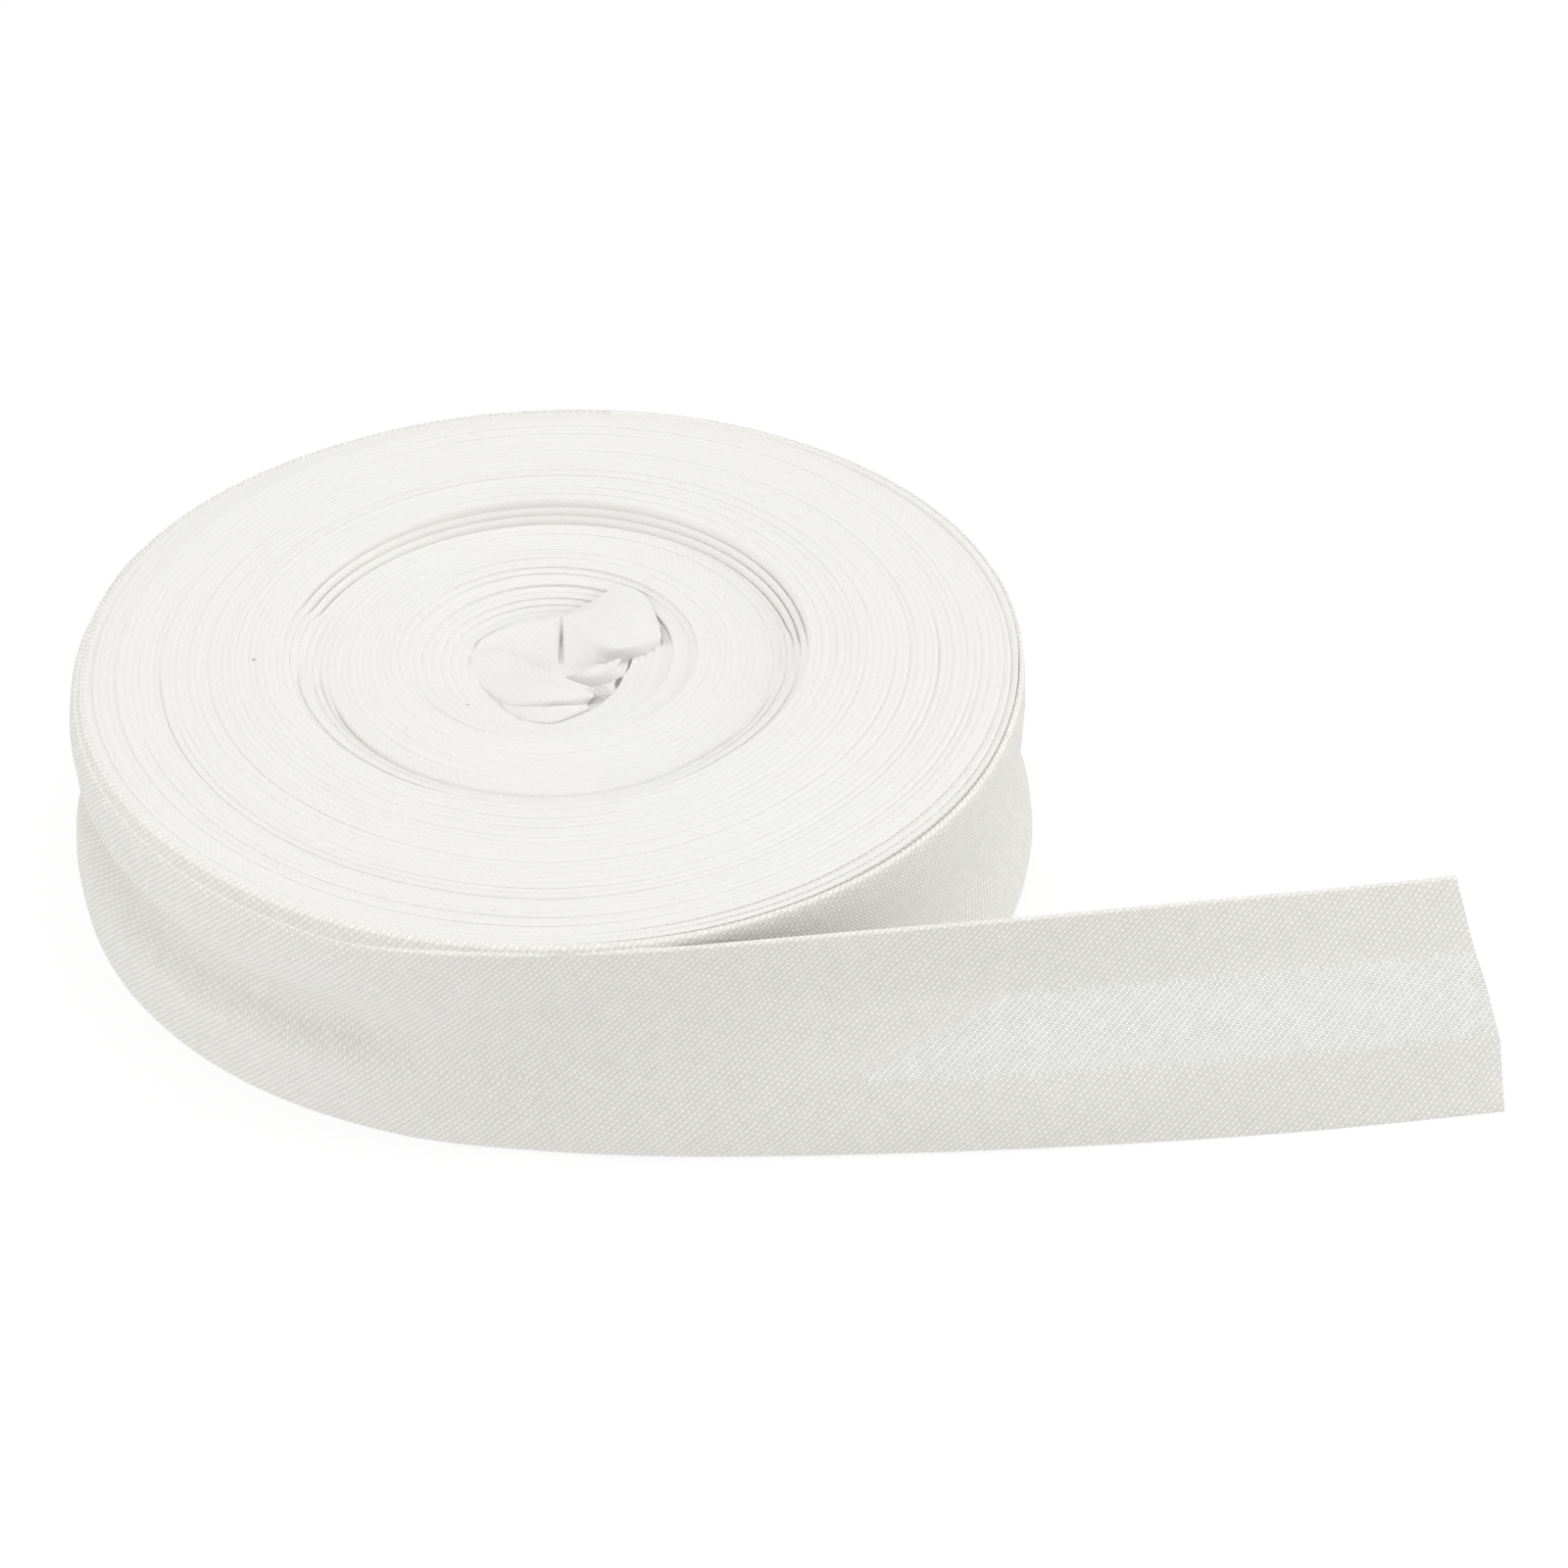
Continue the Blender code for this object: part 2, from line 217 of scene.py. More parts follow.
# %% The weave
FINE_THREAD = 0.26
COARSE_THREAD = 0.45
THREAD_ROUND = 0.6
FINE_RISE, FINE_LEVEL = 0.3, 0.42
COARSE_RISE, COARSE_LEVEL = 0.4, 0.6
SWAY = 0.35
SWAY_SCALE = 0.35
SLUB_CLOSE, SLUB_LONG = 0.9, 0.12
FINE_SLUBS, COARSE_SLUBS = 0.45, 0.55


def thread_count(tree, operation, along, across, thread, sway):
    """Threads of one set up to a place: (along + or - across) over root two and their width."""
    slanting = calc(tree, operation, along, across)
    return calc(tree, "ADD", times(tree, slanting, 1 / (2 ** 0.5 * thread)), sway)


def thread_height(tree, size, over, rise, level):
    """Top of a thread: its sine's size to a power, times a level that rises where it is over."""
    return times(tree, calc(tree, "POWER", size, THREAD_ROUND), times_plus(tree, over, rise, level))


def plain_weave(tree):
    """Thread height, hole and slub of a bias plain weave, and the sockets of the map they come from.

    p counts the fine threads and q the coarse ones. A thread passes over or under by the sign of its own
    sine times the other set's sine. The hole is one where both sines are nothing. The slub is a noise
    drawn out along the threads.
    """
    place = tree.nodes.new("ShaderNodeUVMap")
    place.uv_map = "cloth"
    parts = tree.nodes.new("ShaderNodeSeparateXYZ")
    tree.links.new(place.outputs[0], parts.inputs[0])
    along, across = parts.outputs[0], parts.outputs[1]
    sway = times_plus(tree, noise(tree, place.outputs[0], SWAY_SCALE), 2 * SWAY, -SWAY)
    p = thread_count(tree, "ADD", along, across, FINE_THREAD, sway)
    q = thread_count(tree, "SUBTRACT", along, across, COARSE_THREAD, sway)
    wave_p = calc(tree, "SINE", times(tree, p, np.pi))
    wave_q = calc(tree, "SINE", times(tree, q, np.pi))
    size_p, size_q = calc(tree, "ABSOLUTE", wave_p), calc(tree, "ABSOLUTE", wave_q)
    fine_over = times(tree, calc(tree, "SIGN", wave_p), wave_q)
    coarse_over = times(tree, calc(tree, "SIGN", wave_q), wave_p)
    fine = thread_height(tree, size_p, fine_over, FINE_RISE, FINE_LEVEL)
    coarse = thread_height(tree, size_q, coarse_over, -COARSE_RISE, COARSE_LEVEL)
    height = calc(tree, "MAXIMUM", fine, coarse)
    hole = calc(tree, "SUBTRACT", 1.0, calc(tree, "MAXIMUM", size_p, size_q))
    slubs = []
    for count, length in ((p, q), (q, p)):
        drawn_out = tree.nodes.new("ShaderNodeCombineXYZ")
        wire(tree, times(tree, count, SLUB_CLOSE), drawn_out.inputs[0])
        wire(tree, times(tree, length, SLUB_LONG), drawn_out.inputs[1])
        slubs.append(noise(tree, drawn_out.outputs[0], 1.0, 1.0))
    slub = times_plus(tree, slubs[0], FINE_SLUBS, times(tree, slubs[1], COARSE_SLUBS))
    return height, hole, slub, place.outputs[0], along, across


print("threads, mm:", FINE_THREAD, "and", COARSE_THREAD)

# %% [markdown]
# ## From weave to cotton
#
# The real cotton is white and matt, and its weave shows because the hollows between threads lie in shade.
# The thread height darkens the colour there as painted shade and drives a fine bump. In the loose end's
# single middle layer the weave has opened, and holes in the surface cost less than modelled threads. A
# translucent shader lets a little light through. The fold at the head has a painted highlight, a paler line
# along its round, and two specks of lint lie on the roll.

# %% The cotton material
COTTON = (0.885, 0.878, 0.856)
TAPE_COTTON = (0.962, 0.953, 0.915)
TAIL_COTTON = (0.908, 0.901, 0.883)
MATT = {"Roughness": 0.92, "Specular IOR Level": 0.25, "Sheen Weight": 0.12, "Sheen Roughness": 0.6}
CLOUD_SCALE, CLOUD_SWING = 0.06, 0.03
SLUB_SWING = 0.7
LINT_SHADE = 0.35
LOOSE_FROM = 400
# The painted highlight along the fold at the head: where across the strip, how far each way, how much paler.
HEAD_ACROSS, HEAD_REACH, HEAD_HIGHLIGHT = 26.7, 0.4, 0.12
MIDDLE_ACROSS, SINGLE_LAYER = 16.70, 6.85
OPEN_FROM, OPEN_OVER, OPEN_SLANT = 28.0, 2.0, 1.9
OPEN_SHADE = 0.11
HOLE_SWING, HOLE_EDGE = 0.5, 0.15
# A Mix node's colour sockets, known by number.
FIRST_COLOUR, SECOND_COLOUR, MIXED_COLOUR = 6, 7, 2


def plain_material(name, sockets):
    """A material with these values in its shader's sockets."""
    material = bpy.data.materials.new(name)
    material.use_nodes = True
    for socket, value in sockets.items():
        material.node_tree.nodes["Principled BSDF"].inputs[socket].default_value = value
    return material


def lint_factor(tree, spot, x, y, radius):
    """1, or less where a place, seen from above, lies within the radius of a speck."""
    apart, flat = [tree.nodes.new("ShaderNodeVectorMath") for _ in range(2)]
    apart.operation, flat.operation = "DISTANCE", "MULTIPLY"
    wire(tree, spot, flat.inputs[0])
    flat.inputs[1].default_value = (1, 1, 0)
    wire(tree, flat.outputs[0], apart.inputs[0])
    apart.inputs[1].default_value = (x * MM, y * MM, 0)
    return times_plus(tree, calc(tree, "LESS_THAN", apart.outputs[1], radius * MM), -LINT_SHADE, 1.0)


def opened_weave(tree, openness, hole, slub, along, across):
    """How far the weave is open at a place, and how much of a hole lies there, each from 0 to 1.

    It opens in the single layer only, past a slanting line, and slubs make a hole larger or smaller.
    """
    uneven = times_plus(tree, slub, HOLE_SWING, openness - 1 - HOLE_SWING / 2)
    gap = clamped(tree, times(tree, calc(tree, "ADD", hole, uneven), 1 / HOLE_EDGE))
    single = within(tree, across, MIDDLE_ACROSS, SINGLE_LAYER / 2)
    slant = times_plus(tree, across, -OPEN_SLANT, (MIDDLE_ACROSS - SINGLE_LAYER / 2) * OPEN_SLANT)
    past = calc(tree, "ADD", calc(tree, "SUBTRACT", along, LOOSE_FROM + OPEN_FROM), slant)
    opened = times(tree, single, clamped(tree, times(tree, past, 1 / OPEN_OVER)))
    return opened, gap


def cotton(name, thread_depth, hollow_shade, openness=0.0, through=0.0, base=COTTON, lint=()):
    """White cotton: pale thread tops, painted shade in the hollows between threads, a matt surface and a
    fine bump.
    """
    material = plain_material(name, MATT)
    tree = material.node_tree
    shader = tree.nodes["Principled BSDF"]
    height, hole, slub, place, along, across = plain_weave(tree)
    light = around_one(tree, noise(tree, place, CLOUD_SCALE, 3.0), CLOUD_SWING)
    light = times(tree, light, around_one(tree, slub, hollow_shade * SLUB_SWING))
    # Painted shade: the lower a thread lies, the darker the hollow between the threads.
    painted_hollow_shade = times_plus(tree, height, hollow_shade, 1 - hollow_shade)
    light = times(tree, light, calc(tree, "MINIMUM", painted_hollow_shade, 1.0))
    if lint:
        spot = tree.nodes.new("ShaderNodeTexCoord").outputs["Object"]
        for x, y, radius in lint:
            light = times(tree, light, lint_factor(tree, spot, x, y, radius))
    if openness:
        # Painted highlight: the fold at the head is paler, as where its round catches the light from above.
        head_highlight = within(tree, across, HEAD_ACROSS, HEAD_REACH)
        light = times(tree, light, times_plus(tree, head_highlight, HEAD_HIGHLIGHT, 1.0))
        opened, gap = opened_weave(tree, openness, hole, slub, along, across)
        light = times(tree, light, times_plus(tree, opened, -OPEN_SHADE, 1.0))
        wire(tree, calc(tree, "SUBTRACT", 1.0, times(tree, gap, opened)), shader.inputs["Alpha"])
    colour = tree.nodes.new("ShaderNodeMix")
    colour.data_type, colour.blend_type = "RGBA", "MULTIPLY"
    colour.inputs[0].default_value = 1.0
    colour.inputs[FIRST_COLOUR].default_value = (*base, 1.0)
    wire(tree, light, colour.inputs[SECOND_COLOUR])
    wire(tree, colour.outputs[MIXED_COLOUR], shader.inputs["Base Color"])
    bump = tree.nodes.new("ShaderNodeBump")
    bump.inputs["Distance"].default_value = thread_depth * MM
    bump.inputs["Strength"].default_value = 1.0
    wire(tree, height, bump.inputs["Height"])
    wire(tree, bump.outputs[0], shader.inputs["Normal"])
    if through:
        glow = tree.nodes.new("ShaderNodeBsdfTranslucent")
        both = tree.nodes.new("ShaderNodeMixShader")
        both.inputs[0].default_value = through
        wire(tree, colour.outputs[MIXED_COLOUR], glow.inputs["Color"])
        wire(tree, shader.outputs[0], both.inputs[1])
        wire(tree, glow.outputs[0], both.inputs[2])
        wire(tree, both.outputs[0], tree.nodes["Material Output"].inputs["Surface"])
    return material


# %% The four cottons
LINT = ((-44.0, -0.1, 0.2), (-25.6, -2.8, 0.15))
turn_cotton = cotton("wound_cotton", thread_depth=0.022, hollow_shade=0.05, lint=LINT)
web_cotton = cotton("tape_cotton", thread_depth=0.09, hollow_shade=0.30, openness=0.80, through=0.05,
                    base=TAPE_COTTON)
tail_cotton = cotton("crumpled_cotton", thread_depth=0.02, hollow_shade=0.07, through=0.04, base=TAIL_COTTON)
thread_cotton = plain_material("thread_cotton", {"Base Color": (*COTTON, 1.0), "Roughness": 0.9})
print("cottons:", [paint.name for paint in (turn_cotton, web_cotton, tail_cotton, thread_cotton)])

# %% [markdown]
# ## The path of the wound tape
#
# The tape winds inwards as a spiral. A place on it is counted in turns from the outer end: 0 where the loose
# end leaves the roll, 1 a full turn further in, and about 54 at the hollow. Each turn lies 0.6 mm inside the
# one before. A Screw modifier would wind a perfect spiral. The real roll was pushed about, so here tables
# move the middles of the inner turns off the axis and let the turns bulge and flatten by some tenths.

# %% Where each turn runs
END_ANGLE = 264.5
FRONT = (END_ANGLE + 90) / 360
PITCH = 0.6
ROLL_RADIUS = 41.25
LEFT_BULGE = 0.6
FIRST_PACKED = 40.0
LAST_TURN = 54.4
CLOTH = 0.06
FOLD = 0.23
TAPE_THICKNESS = 2 * FOLD + CLOTH
HALF_TURN_WIDTH = 0.28
RIM_GAP = ((-180, 0.02), (-95, 0.02), (-60, 0.03), (-15, 0.04), (15, 0.02), (180, 0.02))
RIM_TURNS, RIM_FADE = 1.8, 2.6
MIDDLES = ((8.0, 0.3, 2.0), (10.5, -0.2, 2.6), (13.0, -0.5, 3.0), (18.0, -0.4, 1.6), (22.0, -0.5, 1.2),
           (27.5, -0.3, 0.8), (33.0, 0.0, 0.2), (41.0, 0.0, 0.0))
OUT_OF_ROUND = ((-180, 0.1), (-130, -0.25), (-105, -0.15), (-88, 0.2), (-70, 0.15), (-45, -0.35),
                (-20, -0.1), (0, 0.05), (60, 0.2), (90, 0.1), (180, 0.1))
ROUND_FROM, ROUND_OVER = 12.0, 14.0
INNER_PRESS = ((-180, -0.6), (-150, -1.0), (-135, -0.8), (-120, -0.4), (-107, 0.2), (-95, 0.25), (-88, -0.2),
               (-78, -0.9), (-62, -1.4), (-47, -1.9), (-29, -2.2), (-7, -2.3), (10, -1.6), (30, -0.7),
               (60, 0.0), (150, 0.0), (180, -0.6))
INNER_FROM, INNER_OVER = 12.5, 4.5


def turn_angle(turns):
    """Degrees around the roll: 360 back for every turn inwards."""
    return END_ANGLE - 360 * turns


def bearing(turns):
    """The same angle between -180 and 180 degrees, as the tables have it."""
    return (turn_angle(turns) + 180) % 360 - 180


def turn_radius(turns):
    """Radius of a turn before it is knocked out of round: one pitch less for every turn inwards."""
    return FIRST_PACKED - PITCH * (turns - 1)


def wall_radius(turns):
    """Radius of the outermost turn's wall: the roll's, less a pitch a turn, plus the bulge on the left."""
    theta = np.radians(turn_angle(turns))
    return ROLL_RADIUS - PITCH * turns + LEFT_BULGE * np.clip(-np.cos(theta), 0, 1) ** 2


def turn_point(turns):
    """Middle line of the wound tape seen from above, as x and y.

    The spiral's radius, plus one table by angle for the outer turns and one for those round the hollow.
    The outermost turns are pressed outwards against the last one, less with each turn inwards.
    """
    base = turn_radius(turns)
    angle = bearing(turns)
    theta = np.radians(angle)
    radius = base + read_off(OUT_OF_ROUND, angle) * ramp(base, ROUND_FROM, ROUND_OVER)
    against_rim = wall_radius(turns - 1) - TAPE_THICKNESS - read_off(RIM_GAP, angle) - HALF_TURN_WIDTH
    radius = radius + (against_rim - radius) * np.exp(-np.maximum(turns - RIM_TURNS, 0) / RIM_FADE)
    radius = radius + read_off(INNER_PRESS, angle) * ease((INNER_FROM - base) / INNER_OVER)
    x = read_off(MIDDLES, base, 1) + radius * np.cos(theta)
    y = read_off(MIDDLES, base, 2) + radius * np.sin(theta)
    return np.stack([x, y], axis=-1)


wound_line = turn_point(np.linspace(1, LAST_TURN, 2000))
print("wound length, m:", round(float(along_length(wound_line)[-1]) * MM, 2))

# %% [markdown]
# ## How high each turn stands
#
# The roll's upper face is not flat. The pack stands higher than the outermost turn, the turns inside a
# radius of about 21 mm have sunk by 1.7 mm in three steps, and a second small step lies round the hollow.
# Such a face could be sculpted, but tables by angle and radius can be read off the photograph and are easily
# put right. Each turn also has a few hundredths of a millimetre of its own.

# %% Heights of the turns
PACK_EDGE_HEIGHT = ((-180, 19.8), (-135, 20.1), (-95, 20.2), (-60, 20.3), (0, 19.9), (45, 19.4), (90, 19.3),
                    (135, 19.4), (180, 19.8))
RIM_HEIGHT = ((-180, 19.3), (-160, 19.0), (-135, 18.8), (-95, 18.8), (-60, 19.4), (0, 19.4), (45, 19.3),
              (90, 19.2), (135, 19.2), (180, 19.3))
RIM_GAP_DEPTH = ((-180, 0.15), (-155, 0.05), (-135, 0.0), (-95, 0.0), (-60, 0.3), (-20, 0.3), (0, 0.2),
                 (25, 0.12), (75, 0.1), (100, 0.0), (135, 0.0), (180, 0.15))
FULL_GAP = 0.6
RIM_SLOPE = 3.0
FACE_HEIGHT = ((22.0, 20.1), (27.5, 20.3), (33.9, 20.1), (36.6, 20.2))
EDGE_OVER = 3.0
DISC_EDGES = ((-180, 22.4, 21.4, 20.6), (-166, 22.3, 21.1, 19.9), (-143, 22.3, 21.0, 19.8),
              (-90, 22.3, 21.1, 19.9), (-30, 22.4, 21.2, 20.0), (-8, 22.4, 21.5, 20.2),
              (20, 22.5, 21.9, 21.3), (160, 22.5, 21.9, 21.3), (180, 22.4, 21.4, 20.6))
STEP_DROP = 0.57
STEP_OVER = 0.3
INNER_DROP = ((7.8, 1.45), (9.2, 1.35), (9.6, 1.25), (10.2, 0.9), (11.0, 0.85), (11.4, 0.5), (12.4, 0.45),
              (12.9, 0.05), (13.4, 0.0))
OWN_HEIGHTS = ((0.05, 1.7, 11), (0.025, 9, 12))


def turn_height(turns):
    """Height of the top of each turn: the face's table, less the disc's steps and the inner drop."""
    base = turn_radius(turns)
    angle = bearing(turns)
    high = read_off(FACE_HEIGHT, base)
    high = high + (read_off(PACK_EDGE_HEIGHT, angle) - high) * ramp(base, FACE_HEIGHT[-1][0], EDGE_OVER)
    low_rim = read_off(RIM_HEIGHT, angle) - read_off(RIM_GAP_DEPTH, angle)
    sunk = ease(read_off(RIM_GAP_DEPTH, angle) / FULL_GAP) * np.clip(1 - (turns - 1) / RIM_SLOPE, 0, 1)
    high = high + (low_rim - high) * sunk
    for step in (1, 2, 3):
        high = high - STEP_DROP * ease((read_off(DISC_EDGES, angle, step) - base) / STEP_OVER + 0.5)
    high = high - read_off(INNER_DROP, base)
    own = sum(size * gentle_noise(turns * pace, seed) for size, pace, seed in OWN_HEIGHTS)
    return high + own


print("heights at the front, mm:", turn_height(np.arange(1, 54, 8) + FRONT).round(2))

# %% [markdown]
# ## Creases between the turns
#
# Here and there two turns have slipped apart, which shows as a fine dark line along part of a circle. Each
# crease lies between two numbered turns over a range of angles: the two facing sides step back by some
# hundredths of a millimetre and their edges are rounder and lower there. Lines could be painted on, but a
# real gap looks right from every side.

# %% The creases
CREASES = ((22.1, -178, -108, 0.7), (19.9, -175, -10, 5.0), (19.3, -165, -30, 4.0), (22.6, 0, 168, 3.5),
           (21.9, 0, 168, 4.5), (21.3, 0, 168, 3.5), (39.1, -40, 95, 1.2), (38.5, -165, -90, 0.3),
           (36.9, -150, -120, 0.3), (36.4, -165, -5, 0.8), (36.9, -55, -5, 0.6), (35.3, -165, -10, 0.5),
           (34.0, -178, -70, 1.0), (33.35, -170, 15, 0.9), (32.4, -170, -5, 0.5), (31.7, -170, -100, 0.3),
           (30.9, -175, 178, 0.6), (29.6, -175, 0, 0.5), (29.1, 20, 175, 0.5), (28.0, 0, 170, 0.4),
           (27.3, -175, 0, 0.5), (26.7, -170, -10, 0.5), (26.2, 20, 175, 0.5), (24.8, -178, -70, 0.35))
CREASE_FADE = 15


def crease_depths(turns):
    """How strong the creases are on the outer and on the inner side of the tape at each place.

    A crease's radius at the front says which two turns it lies between.
    """
    angle = bearing(turns)
    ring = np.rint(turns - (END_ANGLE - angle) / 360)
    outer, inner = np.zeros_like(turns), np.zeros_like(turns)
    for radius, start, end, strength in CREASES:
        before = np.floor(1 + (FIRST_PACKED - radius) / PITCH - FRONT)
        here = strength * ramp(angle, start, CREASE_FADE) * ease((end - angle) / CREASE_FADE)
        inner = inner + here * (ring == before)
        outer = outer + here * (ring == before + 1)
    return outer, inner


print("creases:", len(CREASES))

# %% [markdown]
# ## The waist
#
# Between its flaps the tape is a single layer, so the roll's wall has a waist there and bulges above and
# below it. A displaced cylinder could show that, but the sheet wound on last has to fit the turns under it,
# so both take the waist from one table of insets by height. Tables by angle make it deepest on the left.

# %% How the walls are drawn in
WALL = ((0.00, -0.35), (0.05, -0.70), (0.13, -0.90), (0.23, -0.70), (0.33, 0.00), (0.42, 0.80), (0.50, 1.05),
        (0.59, 0.75), (0.71, 0.10), (0.86, 0.00), (0.97, 0.12), (1.00, 0.35))
WAIST_AROUND = ((-180, 2.2), (-110, 2.2), (-70, 1.0), (0, 1.2), (90, 1.2), (150, 2.0), (180, 2.2))
RIM_IN = ((-180, 1.0), (-30, 1.0), (-12, 0.8), (0, 0.4), (15, -0.4), (30, -0.65), (45, -0.35), (60, 0.1),
          (75, 0.5), (90, 1.0), (120, 1.0), (140, 0.4), (160, 0.3), (172, 0.8), (180, 1.0))
FOOT_OUT = ((-180, 0.75), (-165, 0.4), (-140, 0.15), (-115, 0.15), (-95, 0.5), (-80, 1.0), (130, 1.0),
            (160, 0.9), (180, 0.75))
RIM_FROM, FOOT_TO, RIM_OVER = 0.86, 0.36, 0.1
WAIST_STRENGTH, WAIST_TURNS, WAIST_FADE = 1.1, 2, 2.9


def waist_strength(turns):
    """How strong the bulges and the waist are: full for two turns, then fading over about three."""
    return WAIST_STRENGTH * np.clip(1 - (turns - WAIST_TURNS) / WAIST_FADE, 0, 1)


def waist_inset(turns, share):
    """How far the wall is drawn in at a share of its height.

    The wall's table by height, times the waist's by angle where it goes in. Near the foot the bulge is
    times the foot's table, and near the top the waist's is times the rim's.
    """
    inset = read_off(WALL, share)
    angle = bearing(turns)
    rim_in = 1 + (read_off(RIM_IN, angle) - 1) * ramp(share, RIM_FROM, RIM_OVER)
    foot_out = 1 + (read_off(FOOT_OUT, angle) - 1) * ease((FOOT_TO - share) / RIM_OVER)
    around = np.where(inset > 0, read_off(WAIST_AROUND, angle) * rim_in, foot_out)
    return waist_strength(turns) * inset * around


print("deepest waist, mm:", round(float(waist_inset(np.linspace(0, 1, 90), 0.5).max()), 2))

# %% [markdown]
# ## Making the wound turns
#
# Each turn is the folded tape seen from its edge: a band as thick as the turns' spacing allows, whose upper
# edge is the soft round of the fold. Folded cloth in all fifty turns would take millions of faces and hardly
# show, so the band is one closed profile carried along the spiral. Its walls stop a thousandth of a
# millimetre short of halfway to the neighbouring turns, so nothing overlaps.

# %% The band's profile along the spiral
COLUMNS = 216
TURN_GAP = 0.001
OUTER_TURNS = 1.5
FLAP_REACH = 0.23
BESIDE_FROM, BESIDE_OVER = 1.9, 0.1
FOOT_HEIGHT = 0.15
UNDER_SHARES = (0.5, -0.5)
RIM_SHARE = 0.985
SHOULDER, SHOULDER_POWER = 0.05, 2.6
TOP_TILT, TILT_FROM = 0.2, 3
TOP_SHARES = (-1.0, -0.88, -0.62, -0.3, 0.0, 0.3, 0.62, 0.88, 1.0)
CREASE_WIDTH = 0.006
CREASE_DROP, CREASE_POWER, DEEPEST_CREASE = 0.14, 1.5, 2.2


def side_room(turns, step):
    """Half the distance from a place on the tape to the same bearing one turn further in or out."""
    return np.linalg.norm(turn_point(turns + step) - turn_point(turns), axis=-1) / 2


def outer_room(turns):
    """Room on a band's outer side: half the way to its neighbour, or all of it to the tape's flap."""
    half = side_room(np.maximum(turns, 2), -1)
    to_flap = 2 * half - FLAP_REACH - HALF_TURN_WIDTH
    beside_tape = HALF_TURN_WIDTH + to_flap * ramp(turns, BESIDE_FROM, BESIDE_OVER)
    return np.where(turns < OUTER_TURNS + 1, beside_tape, half)


def band_points(turns, waist_rows=()):
    """The band's closed profile at every place: foot, outer wall, rounded top, inner wall, foot again.

    A point stands on the line from the turn's own middle through its centre line, at a share of the room
    on that side, -1 outside and 1 inside.
    """
    middle = np.stack([read_off(MIDDLES, turn_radius(turns), k) for k in (1, 2)], axis=-1)
    spot = turn_point(turns)
    outward = unit(spot - middle)
    cut_outer, cut_inner = crease_depths(turns)
    outer = outer_room(turns) - TURN_GAP - CREASE_WIDTH * cut_outer
    inner = side_room(turns, 1) - TURN_GAP - CREASE_WIDTH * cut_inner
    high = turn_height(turns)
    tilt = TOP_TILT * (turn_height(turns + 1) - turn_height(np.maximum(turns - 1, 1))) / 4
    tilt = tilt * ease(turns - TILT_FROM)
    rows = []

    def add_row(reach, height):
        rows.append(np.concatenate([spot + outward * reach[:, None], height[:, None]], axis=1))

    def reach_at(share):
        return -share * (outer if share < 0 else inner)

    def drawn_in(share, height_share):
        return waist_inset(turns if share < 0 else turns + 1, height_share)

    add_row(reach_at(-1), np.full_like(turns, FOOT_HEIGHT))
    for height_share in waist_rows:
        add_row(reach_at(-1) - drawn_in(-1, height_share), height_share * high)
    for share in TOP_SHARES:
        reach = reach_at(share)
        if waist_rows:
            reach = reach - drawn_in(share, RIM_SHARE) * abs(share)
        cut = np.minimum(cut_outer if share < 0 else cut_inner, DEEPEST_CREASE)
        top = high + share * tilt - SHOULDER * abs(share) ** SHOULDER_POWER
        add_row(reach, top - CREASE_DROP * cut * abs(share) ** CREASE_POWER)
    for height_share in waist_rows[::-1]:
        add_row(reach_at(1) - drawn_in(1, height_share), height_share * high)
    add_row(reach_at(1), np.full_like(turns, FOOT_HEIGHT))
    for share in UNDER_SHARES:
        add_row(reach_at(share), np.zeros_like(turns))
    return np.stack(rows, axis=1)


# %% The three runs of turns
WOUND_START = -1000
WAISTED_TO, PACK_TO = 4.0, 24.0
WAIST_ROWS = (0.23, 0.33, 0.42, 0.5, 0.59, 0.71)


def band_piece(name, start, end, waist_rows=()):
    """One run of wound turns as a closed band, with its map of lengths along and across."""
    turns = np.arange(round(start * COLUMNS), round(end * COLUMNS) + 1) / COLUMNS
    points = band_points(turns, waist_rows)
    along = along_length(turn_point(turns)) + WOUND_START
    closed = np.concatenate([points, points[:, :1]], axis=1)
    across = along_length(closed.transpose(1, 0, 2)).T
    cloth = np.stack([np.broadcast_to(along[:, None], across.shape), across], axis=-1)
    return cloth_mesh(name, points, cloth, turn_cotton, loop=True, caps=True)


outer_turns = band_piece("outer_turns", OUTER_TURNS, WAISTED_TO, waist_rows=WAIST_ROWS)
middle_turns = band_piece("middle_turns", WAISTED_TO, PACK_TO)
disc_turns = band_piece("disc_turns", PACK_TO, LAST_TURN)

# The outer wall has the tape's cotton: in each profile, the faces from the foot to the top's edge.
outer_turns.data.materials.append(web_cotton)
around = 2 * (len(WAIST_ROWS) + 1) + len(TOP_SHARES) + len(UNDER_SHARES)
faces = len(outer_turns.data.polygons)
on_wall = np.arange(faces) % around <= len(WAIST_ROWS)
on_wall[faces - 2:] = False
outer_turns.data.polygons.foreach_set("material_index", on_wall.astype(np.int32))
print("faces in the tape's cotton:", on_wall.sum())

# %% [markdown]
# ## The outermost turn and the loose end
#
# The last stretch of the tape shows how it is folded, so it is made as real cloth: one sheet whose section
# runs from the lower raw edge down the lower flap, round the fold at the foot, up the web, round the fold at
# the head and down the upper flap. The section is carried along the tape. On the roll the web follows the
# waisted wall. Past the roll it stands on its edge and leans back, and it ends in a slanting cut. A Solidify
# modifier could thicken the sheet, but on cloth as thin as this nothing more would show.

# %% The section of the folded tape
TAPE_WIDTH = 19.9
FLAP_WIDTH = 6.4
FLAP_ROWS = 8
WEB_ROWS = 42
FOLD_TURN = np.radians([30, 60, 90, 120, 150])


